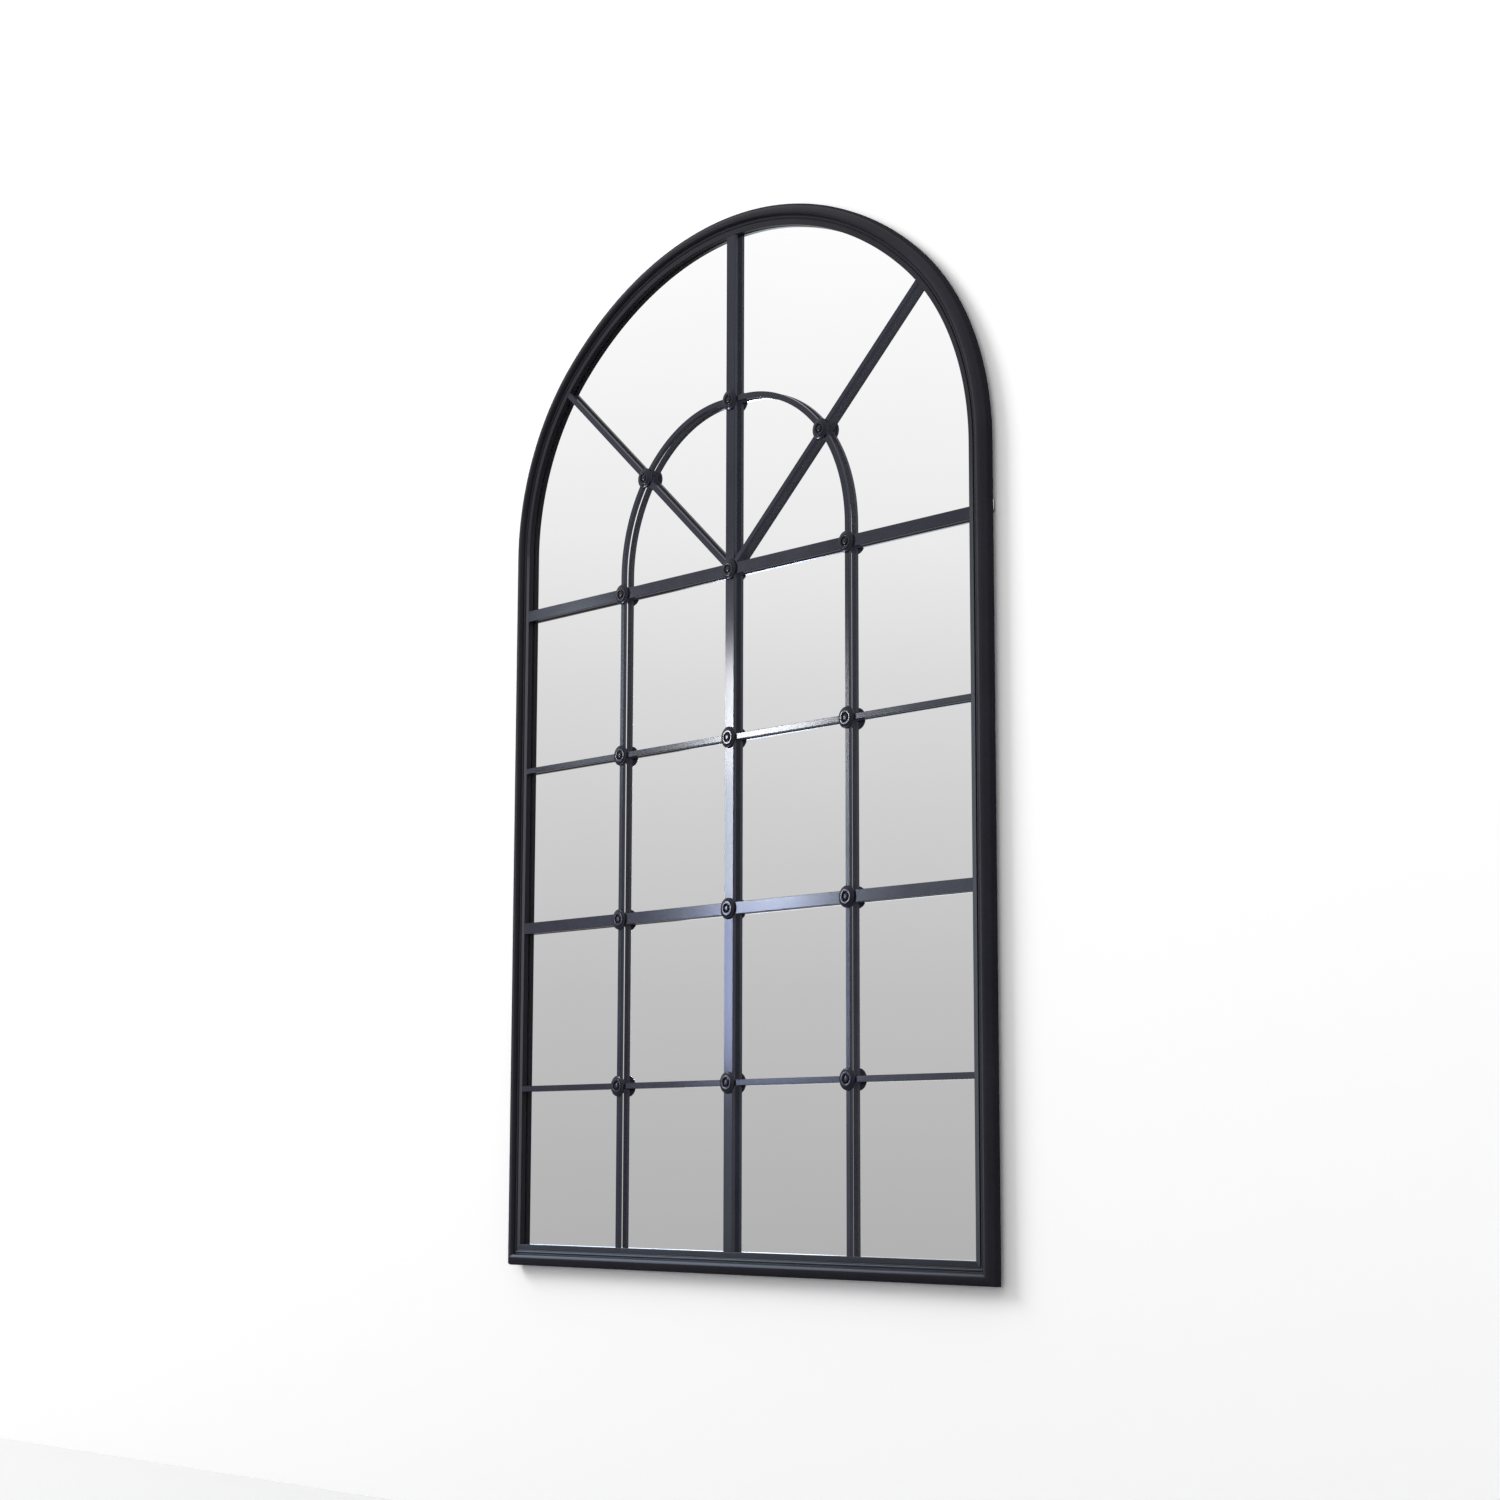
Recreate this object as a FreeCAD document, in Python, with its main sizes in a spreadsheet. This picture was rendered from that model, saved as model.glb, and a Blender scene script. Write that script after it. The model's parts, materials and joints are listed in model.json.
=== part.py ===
import FreeCAD, Part
import math
import os

import Sketcher
from FreeCAD import Placement, Rotation, Vector

# Arched window mirror, hung on a wall. Millimetres, +Z up, the front faces -Y.
# The origin is on the wall plane, midway between the pivots of the two hanger rings,
# which are level with the centre line of the spring bar, the uppermost cross bar.
# Depths are distances in front of the wall, so a depth of 10 is the plane y = -10.

doc = FreeCAD.newDocument("arched_window_mirror")
sizes = doc.addObject("Spreadsheet::Sheet", "sizes")

DRIVING_SIZES = [
    # the frame as it shows from the front
    ("overall_width", 1200.0, "outer edge of one stile to the other"),
    ("base_drop", 1176.0, "outer edge of the bottom rail below the spring bar"),
    ("springing_height", 113.0, "springing of the outer arch above the spring bar"),
    ("shoulder_radius", 418.0, "radius of a shoulder along the sight edge"),
    ("shoulder_sweep", 48.0, "degrees turned by one shoulder"),
    # the rolled steel moulding
    ("moulding_width", 37.0, "sight edge to outer edge"),
    ("steel_gauge", 1.5, "sheet the moulding is rolled from"),
    ("lip_height", 9.0, "height of the inner return of the moulding"),
    ("lip_foot", 8.0, "foot of the return, which the glass is taped to"),
    ("edge_round", 0.8, "rounding of the sight edge"),
    ("band_width", 9.0, "flat band next to the sight edge"),
    ("groove_width", 1.5, "groove between the band and the bead"),
    ("groove_depth", 1.6, "depth of that groove below the band"),
    ("bead_fullness", 0.6, "radius of the bead as a part of its width"),
    ("valley_width", 1.0, "flat between the bead and the crest"),
    ("crest_rise", 6.0, "crest in front of the band"),
    ("rise_radius", 6.5, "inner quarter round up to the crest"),
    ("round_radius", 14.0, "outer quarter round from the crest to the side"),
    ("flange_width", 22.0, "back flange from the outer edge inward"),
    # what lies in the frame, from the wall forward
    ("wall_gap", 8.0, "back of the frame in front of the wall"),
    ("board_thickness", 3.0, "backing board"),
    ("glass_thickness", 3.0, "mirror glass"),
    ("glass_lap", 13.0, "glass and board behind the sight edge"),
    ("tape_thickness", 1.0, "foam tape between the lip and the glass"),
    ("tape_margin", 1.0, "tape back from both edges of the lip foot"),
    ("block_length", 60.0, "setting block under the glass"),
    ("block_from_corner", 270.0, "middle of a setting block from the side of the frame"),
    # bars and rosettes
    ("bar_thickness", 6.0, "all flat bars, front to back"),
    ("bar_chamfer", 0.6, "chamfer along the bars' front edges"),
    ("bar_pitch", 288.0, "spacing of the bars both ways"),
    ("centre_bar_width", 22.0, "upright in the middle"),
    ("wide_bar_width", 20.0, "first and third cross bars"),
    ("narrow_bar_width", 10.0, "side bars, arch, diagonals, other cross bars"),
    ("arch_springing", 31.0, "springing of the inner arch above the spring bar"),
    ("arch_radius", 264.0, "bends of the inner arch, at the middle of the bar"),
    ("diagonal_angle", 41.3, "degrees of the diagonals above level"),
    ("weld_gap", 0.3, "left at a bar's end where the frame is curved"),
    ("rosette_radius", 18.0, "foot of a rosette"),
    ("rosette_edge", 3.2, "thickness of its rim"),
    ("ridge_radius", 12.0, "crown of its raised ring"),
    ("ridge_height", 5.2, "ring in front of the bar"),
    ("hollow_radius", 8.2, "dark hollow inside the ring"),
    ("hollow_height", 3.0, "bottom of the hollow in front of the bar"),
    ("dome_radius", 6.4, "button in the middle"),
    ("dome_height", 5.6, "top of the button in front of the bar"),
    ("stud_radius", 2.4, "stud on the back of a rosette"),
    ("stud_clearance", 0.08, "between the stud and its hole"),
    # clips, plates and screws on the back flange
    ("screw_radius", 1.45, "shank of the sheet metal screws"),
    ("screw_clearance", 0.05, "between a shank and its hole"),
    ("screw_length", 8.0, "shank under the head"),
    ("head_radius", 3.2, "pan head"),
    ("head_height", 1.8, "pan head"),
    ("clip_length", 25.0, "retaining clip across flange and board"),
    ("clip_width", 14.0, "retaining clip along the frame"),
    ("clip_gauge", 1.2, "spring steel of the clip"),
    ("clip_reach", 10.0, "clip over the edge of the board"),
    ("stile_clips", 4, "clips on each stile"),
    ("rail_clips", 4, "clips on the bottom rail"),
    ("crown_clips", 4, "clips on the crown"),
    ("clip_end_margin", 110.0, "outermost clips from the corners and the spring bar"),
    ("plate_gauge", 2.0, "corner brackets and splice plates"),
    ("plate_width", 16.0, "corner brackets and splice plates"),
    ("plate_length", 64.0, "splice plate, and leg of a corner bracket"),
    ("plate_screw_pitch", 40.0, "between the screws of a plate"),
    # hangers and bumpers
    ("hanger_inset", 24.0, "middle of a hanger out from the sight edge"),
    ("ring_wire_radius", 2.0, "wire of the hanger ring"),
    ("ring_opening_width", 16.0, "clear width in the ring"),
    ("ring_opening_height", 20.0, "clear height in the ring"),
    ("ring_bend_radius", 4.0, "lower corners of the ring, middle of the wire"),
    ("ring_lean", 2.5, "degrees the ring leans on the frame at rest"),
    ("pivot_clearance", 0.05, "between the wire and the strap round it"),
    ("strap_gauge", 1.5, "strap, folded double round the wire"),
    ("strap_width", 13.0, "strap"),
    ("strap_length", 46.0, "strap below the pivot"),
    ("strap_first_screw", 12.0, "first screw below the pivot"),
    ("strap_screw_pitch", 24.0, "between the two screws of a strap"),
    ("bumper_radius", 8.0, "rubber wall bumper"),
    ("bumper_from_corner", 120.0, "lower bumpers from the side of the frame"),
    ("bumper_turn", 14.0, "degrees of the upper bumpers from the top of the crown"),
]

for row, (alias, number, note) in enumerate(DRIVING_SIZES, start=1):
    sizes.set(f"A{row}", alias)
    sizes.set(f"B{row}", str(number))
    sizes.set(f"C{row}", note)
    sizes.setAlias(f"B{row}", alias)
doc.recompute()


def value(formula):
    """The number that a formula of the sheet gives."""
    return float(sizes.evalExpression(formula))


# Formulas that several pieces share.
HALF_WIDTH = "(sizes.overall_width / 2)"
HALF_SIGHT = f"({HALF_WIDTH} - sizes.moulding_width)"
SIGHT_DROP = "(sizes.base_drop - sizes.moulding_width)"
SHOULDER_X = f"({HALF_SIGHT} - sizes.shoulder_radius)"
CROWN_RADIUS = f"(sizes.shoulder_radius + {SHOULDER_X} / cos(sizes.shoulder_sweep * 1 deg))"
CROWN_Z = f"(sizes.springing_height - {SHOULDER_X} * tan(sizes.shoulder_sweep * 1 deg))"
CROWN_SWEEP = "(2 * (90 - sizes.shoulder_sweep))"
GLASS_BACK = "(sizes.wall_gap + sizes.board_thickness)"
GLASS_FRONT = f"({GLASS_BACK} + sizes.glass_thickness)"
LIP_SEAT = f"({GLASS_FRONT} + sizes.tape_thickness)"
BAND_FRONT = f"({LIP_SEAT} + sizes.lip_height)"
BAR_BACK = f"({BAND_FRONT} - sizes.bar_thickness)"
BAR_MIDDLE = f"({BAND_FRONT} - sizes.bar_thickness / 2)"
FLANGE_MIDDLE = "(sizes.moulding_width - sizes.flange_width / 2)"


def new_body(name):
    """An empty body whose label is its file's name."""
    body = doc.addObject("PartDesign::Body", name)
    body.Label = name
    return body


def new_sketch(body, name, role, lift="0"):
    """A sketch on one of the body's own origin planes, lifted along its normal."""
    sketch = body.newObject("Sketcher::SketchObject", name)
    plane = [item for item in body.Origin.OriginFeatures if item.Role == role][0]
    sketch.AttachmentSupport = [(plane, "")]
    sketch.MapMode = "FlatFace"
    sketch.setExpression("AttachmentOffset.Base.z", lift)
    return sketch


def pin(sketch, geometry, point, x, y):
    """Hold one point of a sketch at two formulas."""
    across = Sketcher.Constraint("DistanceX", -1, 1, geometry, point, value(x))
    upward = Sketcher.Constraint("DistanceY", -1, 1, geometry, point, value(y))
    for constraint, formula in ((across, x), (upward, y)):
        index = sketch.addConstraint(constraint)
        sketch.setExpression(f"Constraints[{index}]", formula)


def arc_between(start, end, radius):
    """The shorter arc from start to end, counter-clockwise if the radius is positive."""
    chord = end - start
    reach = math.sqrt(max(radius * radius - chord.Length ** 2 / 4, 0.0))
    left = Vector(-chord.y, chord.x, 0).normalize()
    centre = (start + end) / 2 + left * math.copysign(reach, radius)
    first, last = (start, end) if radius > 0 else (end, start)
    angles = [math.atan2(tip.y - centre.y, tip.x - centre.x) for tip in (first, last)]
    if angles[1] < angles[0]:
        angles[1] += 2 * math.pi
    circle = Part.Circle(centre, Vector(0, 0, 1), abs(radius))
    return Part.ArcOfCircle(circle, angles[0], angles[1])


def outline(sketch, corners):
    """A closed outline through the corners (x, y) or (x, y, radius of the arc that follows)."""
    places = [Vector(value(corner[0]), value(corner[1]), 0) for corner in corners]
    ends = []
    for index, corner in enumerate(corners):
        start = places[index]
        end = places[(index + 1) % len(places)]
        if len(corner) == 2:
            edge = sketch.addGeometry(Part.LineSegment(start, end))
            ends.append((edge, 1, 2))
            continue
        radius = value(corner[2])
        edge = sketch.addGeometry(arc_between(start, end, radius))
        ends.append((edge, 1, 2) if radius > 0 else (edge, 2, 1))
        held = sketch.addConstraint(Sketcher.Constraint("Radius", edge, abs(radius)))
        sketch.setExpression(f"Constraints[{held}]", f"abs({corner[2]})")
    for index, (edge, start, end) in enumerate(ends):
        pin(sketch, edge, start, corners[index][0], corners[index][1])
        after, after_start, _ = ends[(index + 1) % len(ends)]
        sketch.addConstraint(Sketcher.Constraint("Coincident", edge, end, after, after_start))


def axis_line(sketch, start, end):
    """A construction line that a revolution turns about."""
    places = [Vector(value(x), value(y), 0) for x, y in (start, end)]
    line = sketch.addGeometry(Part.LineSegment(*places), True)
    pin(sketch, line, 1, *start)
    pin(sketch, line, 2, *end)


def pad(body, sketch, length, both_ways=False, backward=False):
    """Thicken a sketch along its normal."""
    feature = body.newObject("PartDesign::Pad", f"{body.Name}_pad")
    feature.Profile = sketch
    feature.setExpression("Length", length)
    feature.Midplane = both_ways
    feature.Reversed = backward
    sketch.Visibility = False
    return feature


def cut_through(body, sketch):
    """Remove a sketch's area from the body, all the way both ways."""
    feature = body.newObject("PartDesign::Pocket", f"{body.Name}_{sketch.Name}_cut")
    feature.Profile = sketch
    feature.Type = "ThroughAll"
    feature.Midplane = True
    sketch.Visibility = False
    return feature


def revolve(body, sketch, axis, angle, both_ways=False, backward=False):
    """Turn a sketch about one of its own axes."""
    feature = body.newObject("PartDesign::Revolution", f"{body.Name}_turn")
    feature.Profile = sketch
    feature.ReferenceAxis = (sketch, [axis])
    feature.setExpression("Angle", angle)
    feature.Midplane = both_ways
    feature.Reversed = backward
    sketch.Visibility = False
    return feature


def combine(kind, name, **links):
    """A Part boolean of other objects."""
    feature = doc.addObject(f"Part::{kind}", name)
    for link, target in links.items():
        setattr(feature, link, target)
    return feature


def mirrored(source, name):
    """The left-hand copy of a right-hand piece."""
    copy = doc.addObject("Part::Mirroring", name)
    copy.Source = source
    copy.Normal = Vector(1, 0, 0)
    copy.Label = name
    return copy


nodes = []


def node(piece, name):
    """Name a finished piece and list it for writing."""
    piece.Label = name
    nodes.append(piece)
    return piece


# --- Moulding: one rolled section for the whole frame -------------------------------------
# The section is drawn with the distance out from the sight edge and the depth from the wall.

CREST = "(sizes.moulding_width - sizes.round_radius)"
CREST_FRONT = f"({BAND_FRONT} + sizes.crest_rise)"
RISE_FOOT = f"({CREST} - sizes.rise_radius)"
RISE_FOOT_DEPTH = f"({CREST_FRONT} - sizes.rise_radius)"
ROUND_FOOT_DEPTH = f"({CREST_FRONT} - sizes.round_radius)"
BEAD_START = "(sizes.band_width + sizes.groove_width)"
BEAD_END = f"({RISE_FOOT} - sizes.valley_width)"
GROOVE_FLOOR = f"({BAND_FRONT} - sizes.groove_depth)"
WEB_BACK = f"({GROOVE_FLOOR} - sizes.steel_gauge)"
SIDE_INSIDE = "(sizes.moulding_width - sizes.steel_gauge)"
FLANGE_TIP = "(sizes.moulding_width - sizes.flange_width)"
FLANGE_INSIDE = "(sizes.wall_gap + sizes.steel_gauge)"

MOULDING_SECTION = [
    ("0", LIP_SEAT, None),
    ("0", f"({BAND_FRONT} - sizes.edge_round)", "sizes.edge_round"),
    ("sizes.edge_round", BAND_FRONT, None),
    ("sizes.band_width", BAND_FRONT, None),
    ("sizes.band_width", GROOVE_FLOOR, None),
    (BEAD_START, GROOVE_FLOOR, f"sizes.bead_fullness * ({BEAD_END} - {BEAD_START})"),
    (BEAD_END, RISE_FOOT_DEPTH, None),
    (RISE_FOOT, RISE_FOOT_DEPTH, "sizes.rise_radius"),
    (CREST, CREST_FRONT, "sizes.round_radius"),
    ("sizes.moulding_width", ROUND_FOOT_DEPTH, None),
    ("sizes.moulding_width", "sizes.wall_gap", None),
    (FLANGE_TIP, "sizes.wall_gap", None),
    (FLANGE_TIP, FLANGE_INSIDE, None),
    (SIDE_INSIDE, FLANGE_INSIDE, None),
    (SIDE_INSIDE, ROUND_FOOT_DEPTH, "-(sizes.round_radius - sizes.steel_gauge)"),
    (CREST, f"({CREST_FRONT} - sizes.steel_gauge)", "-(sizes.rise_radius - sizes.steel_gauge)"),
    (f"({RISE_FOOT} + sizes.steel_gauge)", RISE_FOOT_DEPTH, None),
    (f"({RISE_FOOT} + sizes.steel_gauge)", WEB_BACK, None),
    ("sizes.steel_gauge", WEB_BACK, None),
    ("sizes.steel_gauge", f"({LIP_SEAT} + sizes.steel_gauge)", None),
    ("sizes.lip_foot", f"({LIP_SEAT} + sizes.steel_gauge)", None),
    ("sizes.lip_foot", LIP_SEAT, None),
]


def moulding_section(sketch, place, turn):
    """Draw the section; place maps (out, depth) to the sketch, turn is its sense of rotation."""
    corners = []
    for out, depth, radius in MOULDING_SECTION:
        x, y = place(out, depth)
        corners.append((x, y) if radius is None else (x, y, f"{turn} * ({radius})"))
    outline(sketch, corners)


def right_of_sight(out, depth):
    """Section in a level plane, at the right-hand sight edge."""
    return f"({HALF_SIGHT} + {out})", f"-({depth})"


def below_sight(out, depth):
    """Section in the middle plane, at the bottom sight edge."""
    return f"-({depth})", f"-({SIGHT_DROP} + {out})"


def above_sight(out, depth):
    """Section in the middle plane, at the top of the crown's sight edge."""
    return f"-({depth})", f"({CROWN_Z} + {CROWN_RADIUS} + {out})"


MITRE_MARGIN = "sizes.lip_foot"
MITRE_INNER = (f"({HALF_SIGHT} - {MITRE_MARGIN})", f"-({SIGHT_DROP} - {MITRE_MARGIN})")
MITRE_OUTER = (f"({HALF_WIDTH} + {MITRE_MARGIN})", f"-(sizes.base_drop + {MITRE_MARGIN})")


def frame_stile():
    """Straight stile from the springing down to its mitre."""
    body = new_body("stile_bar")
    section = new_sketch(body, "stile_section", "XY_Plane", "sizes.springing_height")
    moulding_section(section, right_of_sight, 1)
    pad(body, section, "sizes.springing_height + sizes.base_drop", backward=True)
    mitre = new_sketch(body, "stile_mitre", "XZ_Plane")
    outline(mitre, [MITRE_INNER, MITRE_OUTER, (MITRE_INNER[0], MITRE_OUTER[1])])
    cut_through(body, mitre)
    return body


def frame_shoulder():
    """Arc of the moulding between a stile and the crown."""
    body = new_body("shoulder_bar")
    section = new_sketch(body, "shoulder_section", "XY_Plane", "sizes.springing_height")
    moulding_section(section, right_of_sight, 1)
    axis_line(section, (SHOULDER_X, "0"), (SHOULDER_X, "sizes.moulding_width"))
    revolve(body, section, "Axis0", "sizes.shoulder_sweep", backward=True)
    return body


def frame_crown():
    """Middle of the arched head, over the centre bar."""
    body = new_body("crown_bar")
    section = new_sketch(body, "crown_section", "YZ_Plane")
    moulding_section(section, above_sight, -1)
    axis_line(section, ("0", CROWN_Z), ("sizes.moulding_width", CROWN_Z))
    revolve(body, section, "Axis0", CROWN_SWEEP, both_ways=True)
    return body


def frame_bottom_rail():
    """Bottom rail, mitred at both ends."""
    body = new_body("bottom_rail_bar")
    section = new_sketch(body, "rail_section", "YZ_Plane")
    moulding_section(section, below_sight, 1)
    pad(body, section, "sizes.overall_width", both_ways=True)
    for side, sign in (("right", ""), ("left", "-")):
        mitre = new_sketch(body, f"rail_mitre_{side}", "XZ_Plane")
        inner = (f"{sign}{MITRE_INNER[0]}", MITRE_INNER[1])
        outer = (f"{sign}{MITRE_OUTER[0]}", MITRE_OUTER[1])
        outline(mitre, [inner, outer, (outer[0], inner[1])])
        cut_through(body, mitre)
    return body


# --- Places on the back flange ------------------------------------------------------------
# Clips, plates, hangers and bumpers sit along the frame. A place is the point on the flange,
# at a distance out from the sight edge, with the direction that points out of the frame.

HALF_SIGHT_MM = value(HALF_SIGHT)
SIGHT_DROP_MM = value(SIGHT_DROP)
SHOULDER_CENTRE = Vector(value(SHOULDER_X), 0, value("sizes.springing_height"))
SHOULDER_RADIUS_MM = value("sizes.shoulder_radius")
SHOULDER_SWEEP_DEG = value("sizes.shoulder_sweep")
CROWN_CENTRE = Vector(0, 0, value(CROWN_Z))
CROWN_RADIUS_MM = value(CROWN_RADIUS)
FLANGE_MIDDLE_MM = value(FLANGE_MIDDLE)
WALL_GAP_MM = value("sizes.wall_gap")
PLATE_LENGTH_MM = value("sizes.plate_length")
PLATE_PITCH_MM = value("sizes.plate_screw_pitch")


def outward(degrees):
    """Unit vector in the plane of the frame, degrees above level."""
    return Vector(math.cos(math.radians(degrees)), 0, math.sin(math.radians(degrees)))


def on_arc(centre, radius, degrees, out):
    """Place on a shoulder or the crown."""
    return centre + outward(degrees) * (radius + out), degrees


def on_side(side, height, out):
    """Place on a stile; side is 1 for the right and -1 for the left."""
    return Vector(side * (HALF_SIGHT_MM + out), 0, height), 90 - 90 * side


def on_rail(across, out):
    """Place on the bottom rail."""
    return Vector(across, 0, -(SIGHT_DROP_MM + out)), -90


def spread(first, last, count):
    """Evenly spaced numbers from first to last."""
    if count < 2:
        return [(first + last) / 2]
    return [first + (last - first) * step / (count - 1) for step in range(count)]


def both_sides(place):
    """A right-hand place and its mirror image."""
    point, degrees = place
    return [place, (Vector(-point.x, point.y, point.z), 180 - degrees)]


def set_on(shape, place, depth):
    """Move a shape drawn at the origin, its +X outward, to a place at a depth."""
    point, degrees = place
    moved = shape.copy()
    moved.Placement = Placement(point + Vector(0, -depth, 0), Rotation(Vector(0, 1, 0), -degrees))
    return moved


def clip_places(out):
    """All retaining clips: stiles, bottom rail, shoulders and crown."""
    margin = value("sizes.clip_end_margin")
    places = []
    for height in spread(-margin, margin - SIGHT_DROP_MM, int(value("sizes.stile_clips"))):
        places += [on_side(1, height, out), on_side(-1, height, out)]
    reach = HALF_SIGHT_MM - margin
    for across in spread(-reach, reach, int(value("sizes.rail_clips"))):
        places.append(on_rail(across, out))
    middle_of_shoulder = SHOULDER_SWEEP_DEG / 2
    places += both_sides(on_arc(SHOULDER_CENTRE, SHOULDER_RADIUS_MM, middle_of_shoulder, out))
    half_crown = (90 - SHOULDER_SWEEP_DEG) * 0.72
    for turn in spread(-half_crown, half_crown, int(value("sizes.crown_clips"))):
        places.append(on_arc(CROWN_CENTRE, CROWN_RADIUS_MM, 90 + turn, out))
    return places


def splice_places():
    """Butt joints of the head: stile to shoulder, shoulder to crown."""
    lower = on_side(1, SHOULDER_CENTRE.z, FLANGE_MIDDLE_MM)
    upper = on_arc(SHOULDER_CENTRE, SHOULDER_RADIUS_MM, SHOULDER_SWEEP_DEG, FLANGE_MIDDLE_MM)
    return {"lower": lower, "upper": upper}


def hanger_place(side):
    """Pivot of a hanger on a stile, level with the spring bar."""
    return on_side(side, 0.0, value("sizes.hanger_inset"))


def along(place, distance):
    """A place moved along the frame, to the left of its outward direction."""
    point, degrees = place
    return point + outward(degrees + 90) * distance, degrees


def corner_screw_places():
    """Two screws in each leg of each corner bracket."""
    places = []
    corner_x = HALF_SIGHT_MM + FLANGE_MIDDLE_MM
    corner_z = -(SIGHT_DROP_MM + FLANGE_MIDDLE_MM)
    first = PLATE_LENGTH_MM - PLATE_PITCH_MM
    for step in (first / 2, first / 2 + PLATE_PITCH_MM * 0.75):
        places += both_sides((Vector(corner_x, 0, corner_z + step), 0))
        places += both_sides((Vector(corner_x - step, 0, corner_z), -90))
    return places


def splice_screw_places():
    """A screw each side of every butt joint of the head."""
    places = []
    for place in splice_places().values():
        for distance in (-PLATE_PITCH_MM / 2, PLATE_PITCH_MM / 2):
            places += both_sides(along(place, distance))
    return places


def hanger_screw_places():
    """Two screws in each hanger strap."""
    places = []
    for step in range(2):
        drop = value(f"sizes.strap_first_screw + {step} * sizes.strap_screw_pitch")
        for side in (1, -1):
            point, degrees = hanger_place(side)
            places.append((point - Vector(0, 0, drop), degrees))
    return places


SCREW_OUT_IN_CLIP = f"({FLANGE_TIP} + sizes.plate_width / 2 - sizes.head_radius / 2)"
CLIP_SCREWS = clip_places(value(SCREW_OUT_IN_CLIP))
CORNER_SCREWS = corner_screw_places()
SPLICE_SCREWS = splice_screw_places()
HANGER_SCREWS = hanger_screw_places()


def drilling():
    """Every screw hole, as one tool that is cut from whatever the screws pass through."""
    radius = value("sizes.screw_radius + sizes.screw_clearance")
    length = value("sizes.screw_length") + 2 * WALL_GAP_MM
    hole = Part.makeCylinder(radius, length, Vector(0, 0, 0), Vector(0, -1, 0))
    places = CLIP_SCREWS + CORNER_SCREWS + SPLICE_SCREWS + HANGER_SCREWS
    tool = doc.addObject("Part::Feature", "screw_holes")
    tool.Shape = Part.makeCompound([set_on(hole, place, 0) for place in places])
    return tool


screw_holes = drilling()


def drilled(piece, name):
    """A piece with its screw holes."""
    return combine("Cut", name, Base=piece, Tool=screw_holes)


right_stile = drilled(frame_stile(), "frame_stile_right")
right_shoulder = drilled(frame_shoulder(), "frame_shoulder_right")
node(drilled(frame_crown(), "frame_crown"), "frame_crown")
node(drilled(frame_bottom_rail(), "frame_bottom_rail"), "frame_bottom_rail")
node(right_stile, "frame_stile_right")
node(mirrored(right_stile, "frame_stile_left"), "frame_stile_left")
node(right_shoulder, "frame_shoulder_right")
node(mirrored(right_shoulder, "frame_shoulder_left"), "frame_shoulder_left")


# --- Glass, board and tape: sheets with the outline of the sight edge, set out from it -------

def arched_outline(sketch, out):
    """The sight outline, offset outward: straight sides, two shoulders and the crown."""
    turn = "sizes.shoulder_sweep * 1 deg"
    half = f"({HALF_SIGHT} + {out})"
    bottom = f"-({SIGHT_DROP} + {out})"
    shoulder = f"(sizes.shoulder_radius + {out})"
    join_x = f"({SHOULDER_X} + {shoulder} * cos({turn}))"
    join_z = f"(sizes.springing_height + {shoulder} * sin({turn}))"
    outline(sketch, [
        (f"-{half}", bottom),
        (half, bottom),
        (half, "sizes.springing_height", shoulder),
        (join_x, join_z, f"({CROWN_RADIUS} + {out})"),
        (f"-{join_x}", join_z, shoulder),
        (f"-{half}", "sizes.springing_height"),
    ])


def arched_sheet(name, back, thickness, out):
    """A flat sheet of that outline."""
    body = new_body(name)
    face = new_sketch(body, f"{name}_outline", "XZ_Plane", back)
    arched_outline(face, out)
    pad(body, face, thickness)
    return body


def glazing_tape():
    """Foam tape all round the foot of the lip."""
    body = new_body("glazing_tape")
    ring = new_sketch(body, "tape_ring", "XZ_Plane", GLASS_FRONT)
    arched_outline(ring, "(sizes.lip_foot - sizes.tape_margin)")
    arched_outline(ring, "sizes.tape_margin")
    pad(body, ring, "sizes.tape_thickness")
    return body


def setting_block():
    """Rubber block that carries the glass on the side wall of the bottom rail."""
    body = new_body("setting_block_right")
    face = new_sketch(body, "block_outline", "XZ_Plane", FLANGE_INSIDE)
    left = f"({HALF_WIDTH} - sizes.block_from_corner - sizes.block_length / 2)"
    right = f"({HALF_WIDTH} - sizes.block_from_corner + sizes.block_length / 2)"
    top = f"-({SIGHT_DROP} + sizes.glass_lap)"
    bottom = f"-({SIGHT_DROP} + {SIDE_INSIDE})"
    outline(face, [(left, bottom), (right, bottom), (right, top), (left, top)])
    pad(body, face, f"{GLASS_FRONT} - {FLANGE_INSIDE}")
    return body


node(arched_sheet("mirror_glass", GLASS_BACK, "sizes.glass_thickness", "sizes.glass_lap"),
     "mirror_glass")
node(arched_sheet("backing_board", "sizes.wall_gap", "sizes.board_thickness", "sizes.glass_lap"),
     "backing_board")
node(glazing_tape(), "glazing_tape")
right_block = node(setting_block(), "setting_block_right")
node(mirrored(right_block, "setting_block_left"), "setting_block_left")


# --- Bars: flat steel with chamfered front edges, halved into each other where they cross ----

def bar_section(sketch, width, place):
    """Section of a flat bar; place maps (across, depth) to the sketch."""
    half = f"({width} / 2)"
    shoulder = f"({BAND_FRONT} - sizes.bar_chamfer)"
    face = f"({half} - sizes.bar_chamfer)"
    corners = [(f"-{half}", BAR_BACK), (half, BAR_BACK), (half, shoulder),
               (face, BAND_FRONT), (f"-{face}", BAND_FRONT), (f"-{half}", shoulder)]
    outline(sketch, [place(across, depth) for across, depth in corners])


def upright(name, across, width, bottom, top):
    """Vertical bar from one height to another."""
    body = new_body(name)
    section = new_sketch(body, f"{name}_section", "XY_Plane", bottom)
    bar_section(section, width, lambda x, depth: (f"({across} + {x})", f"-({depth})"))
    pad(body, section, f"{top} - ({bottom})")
    return body


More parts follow.
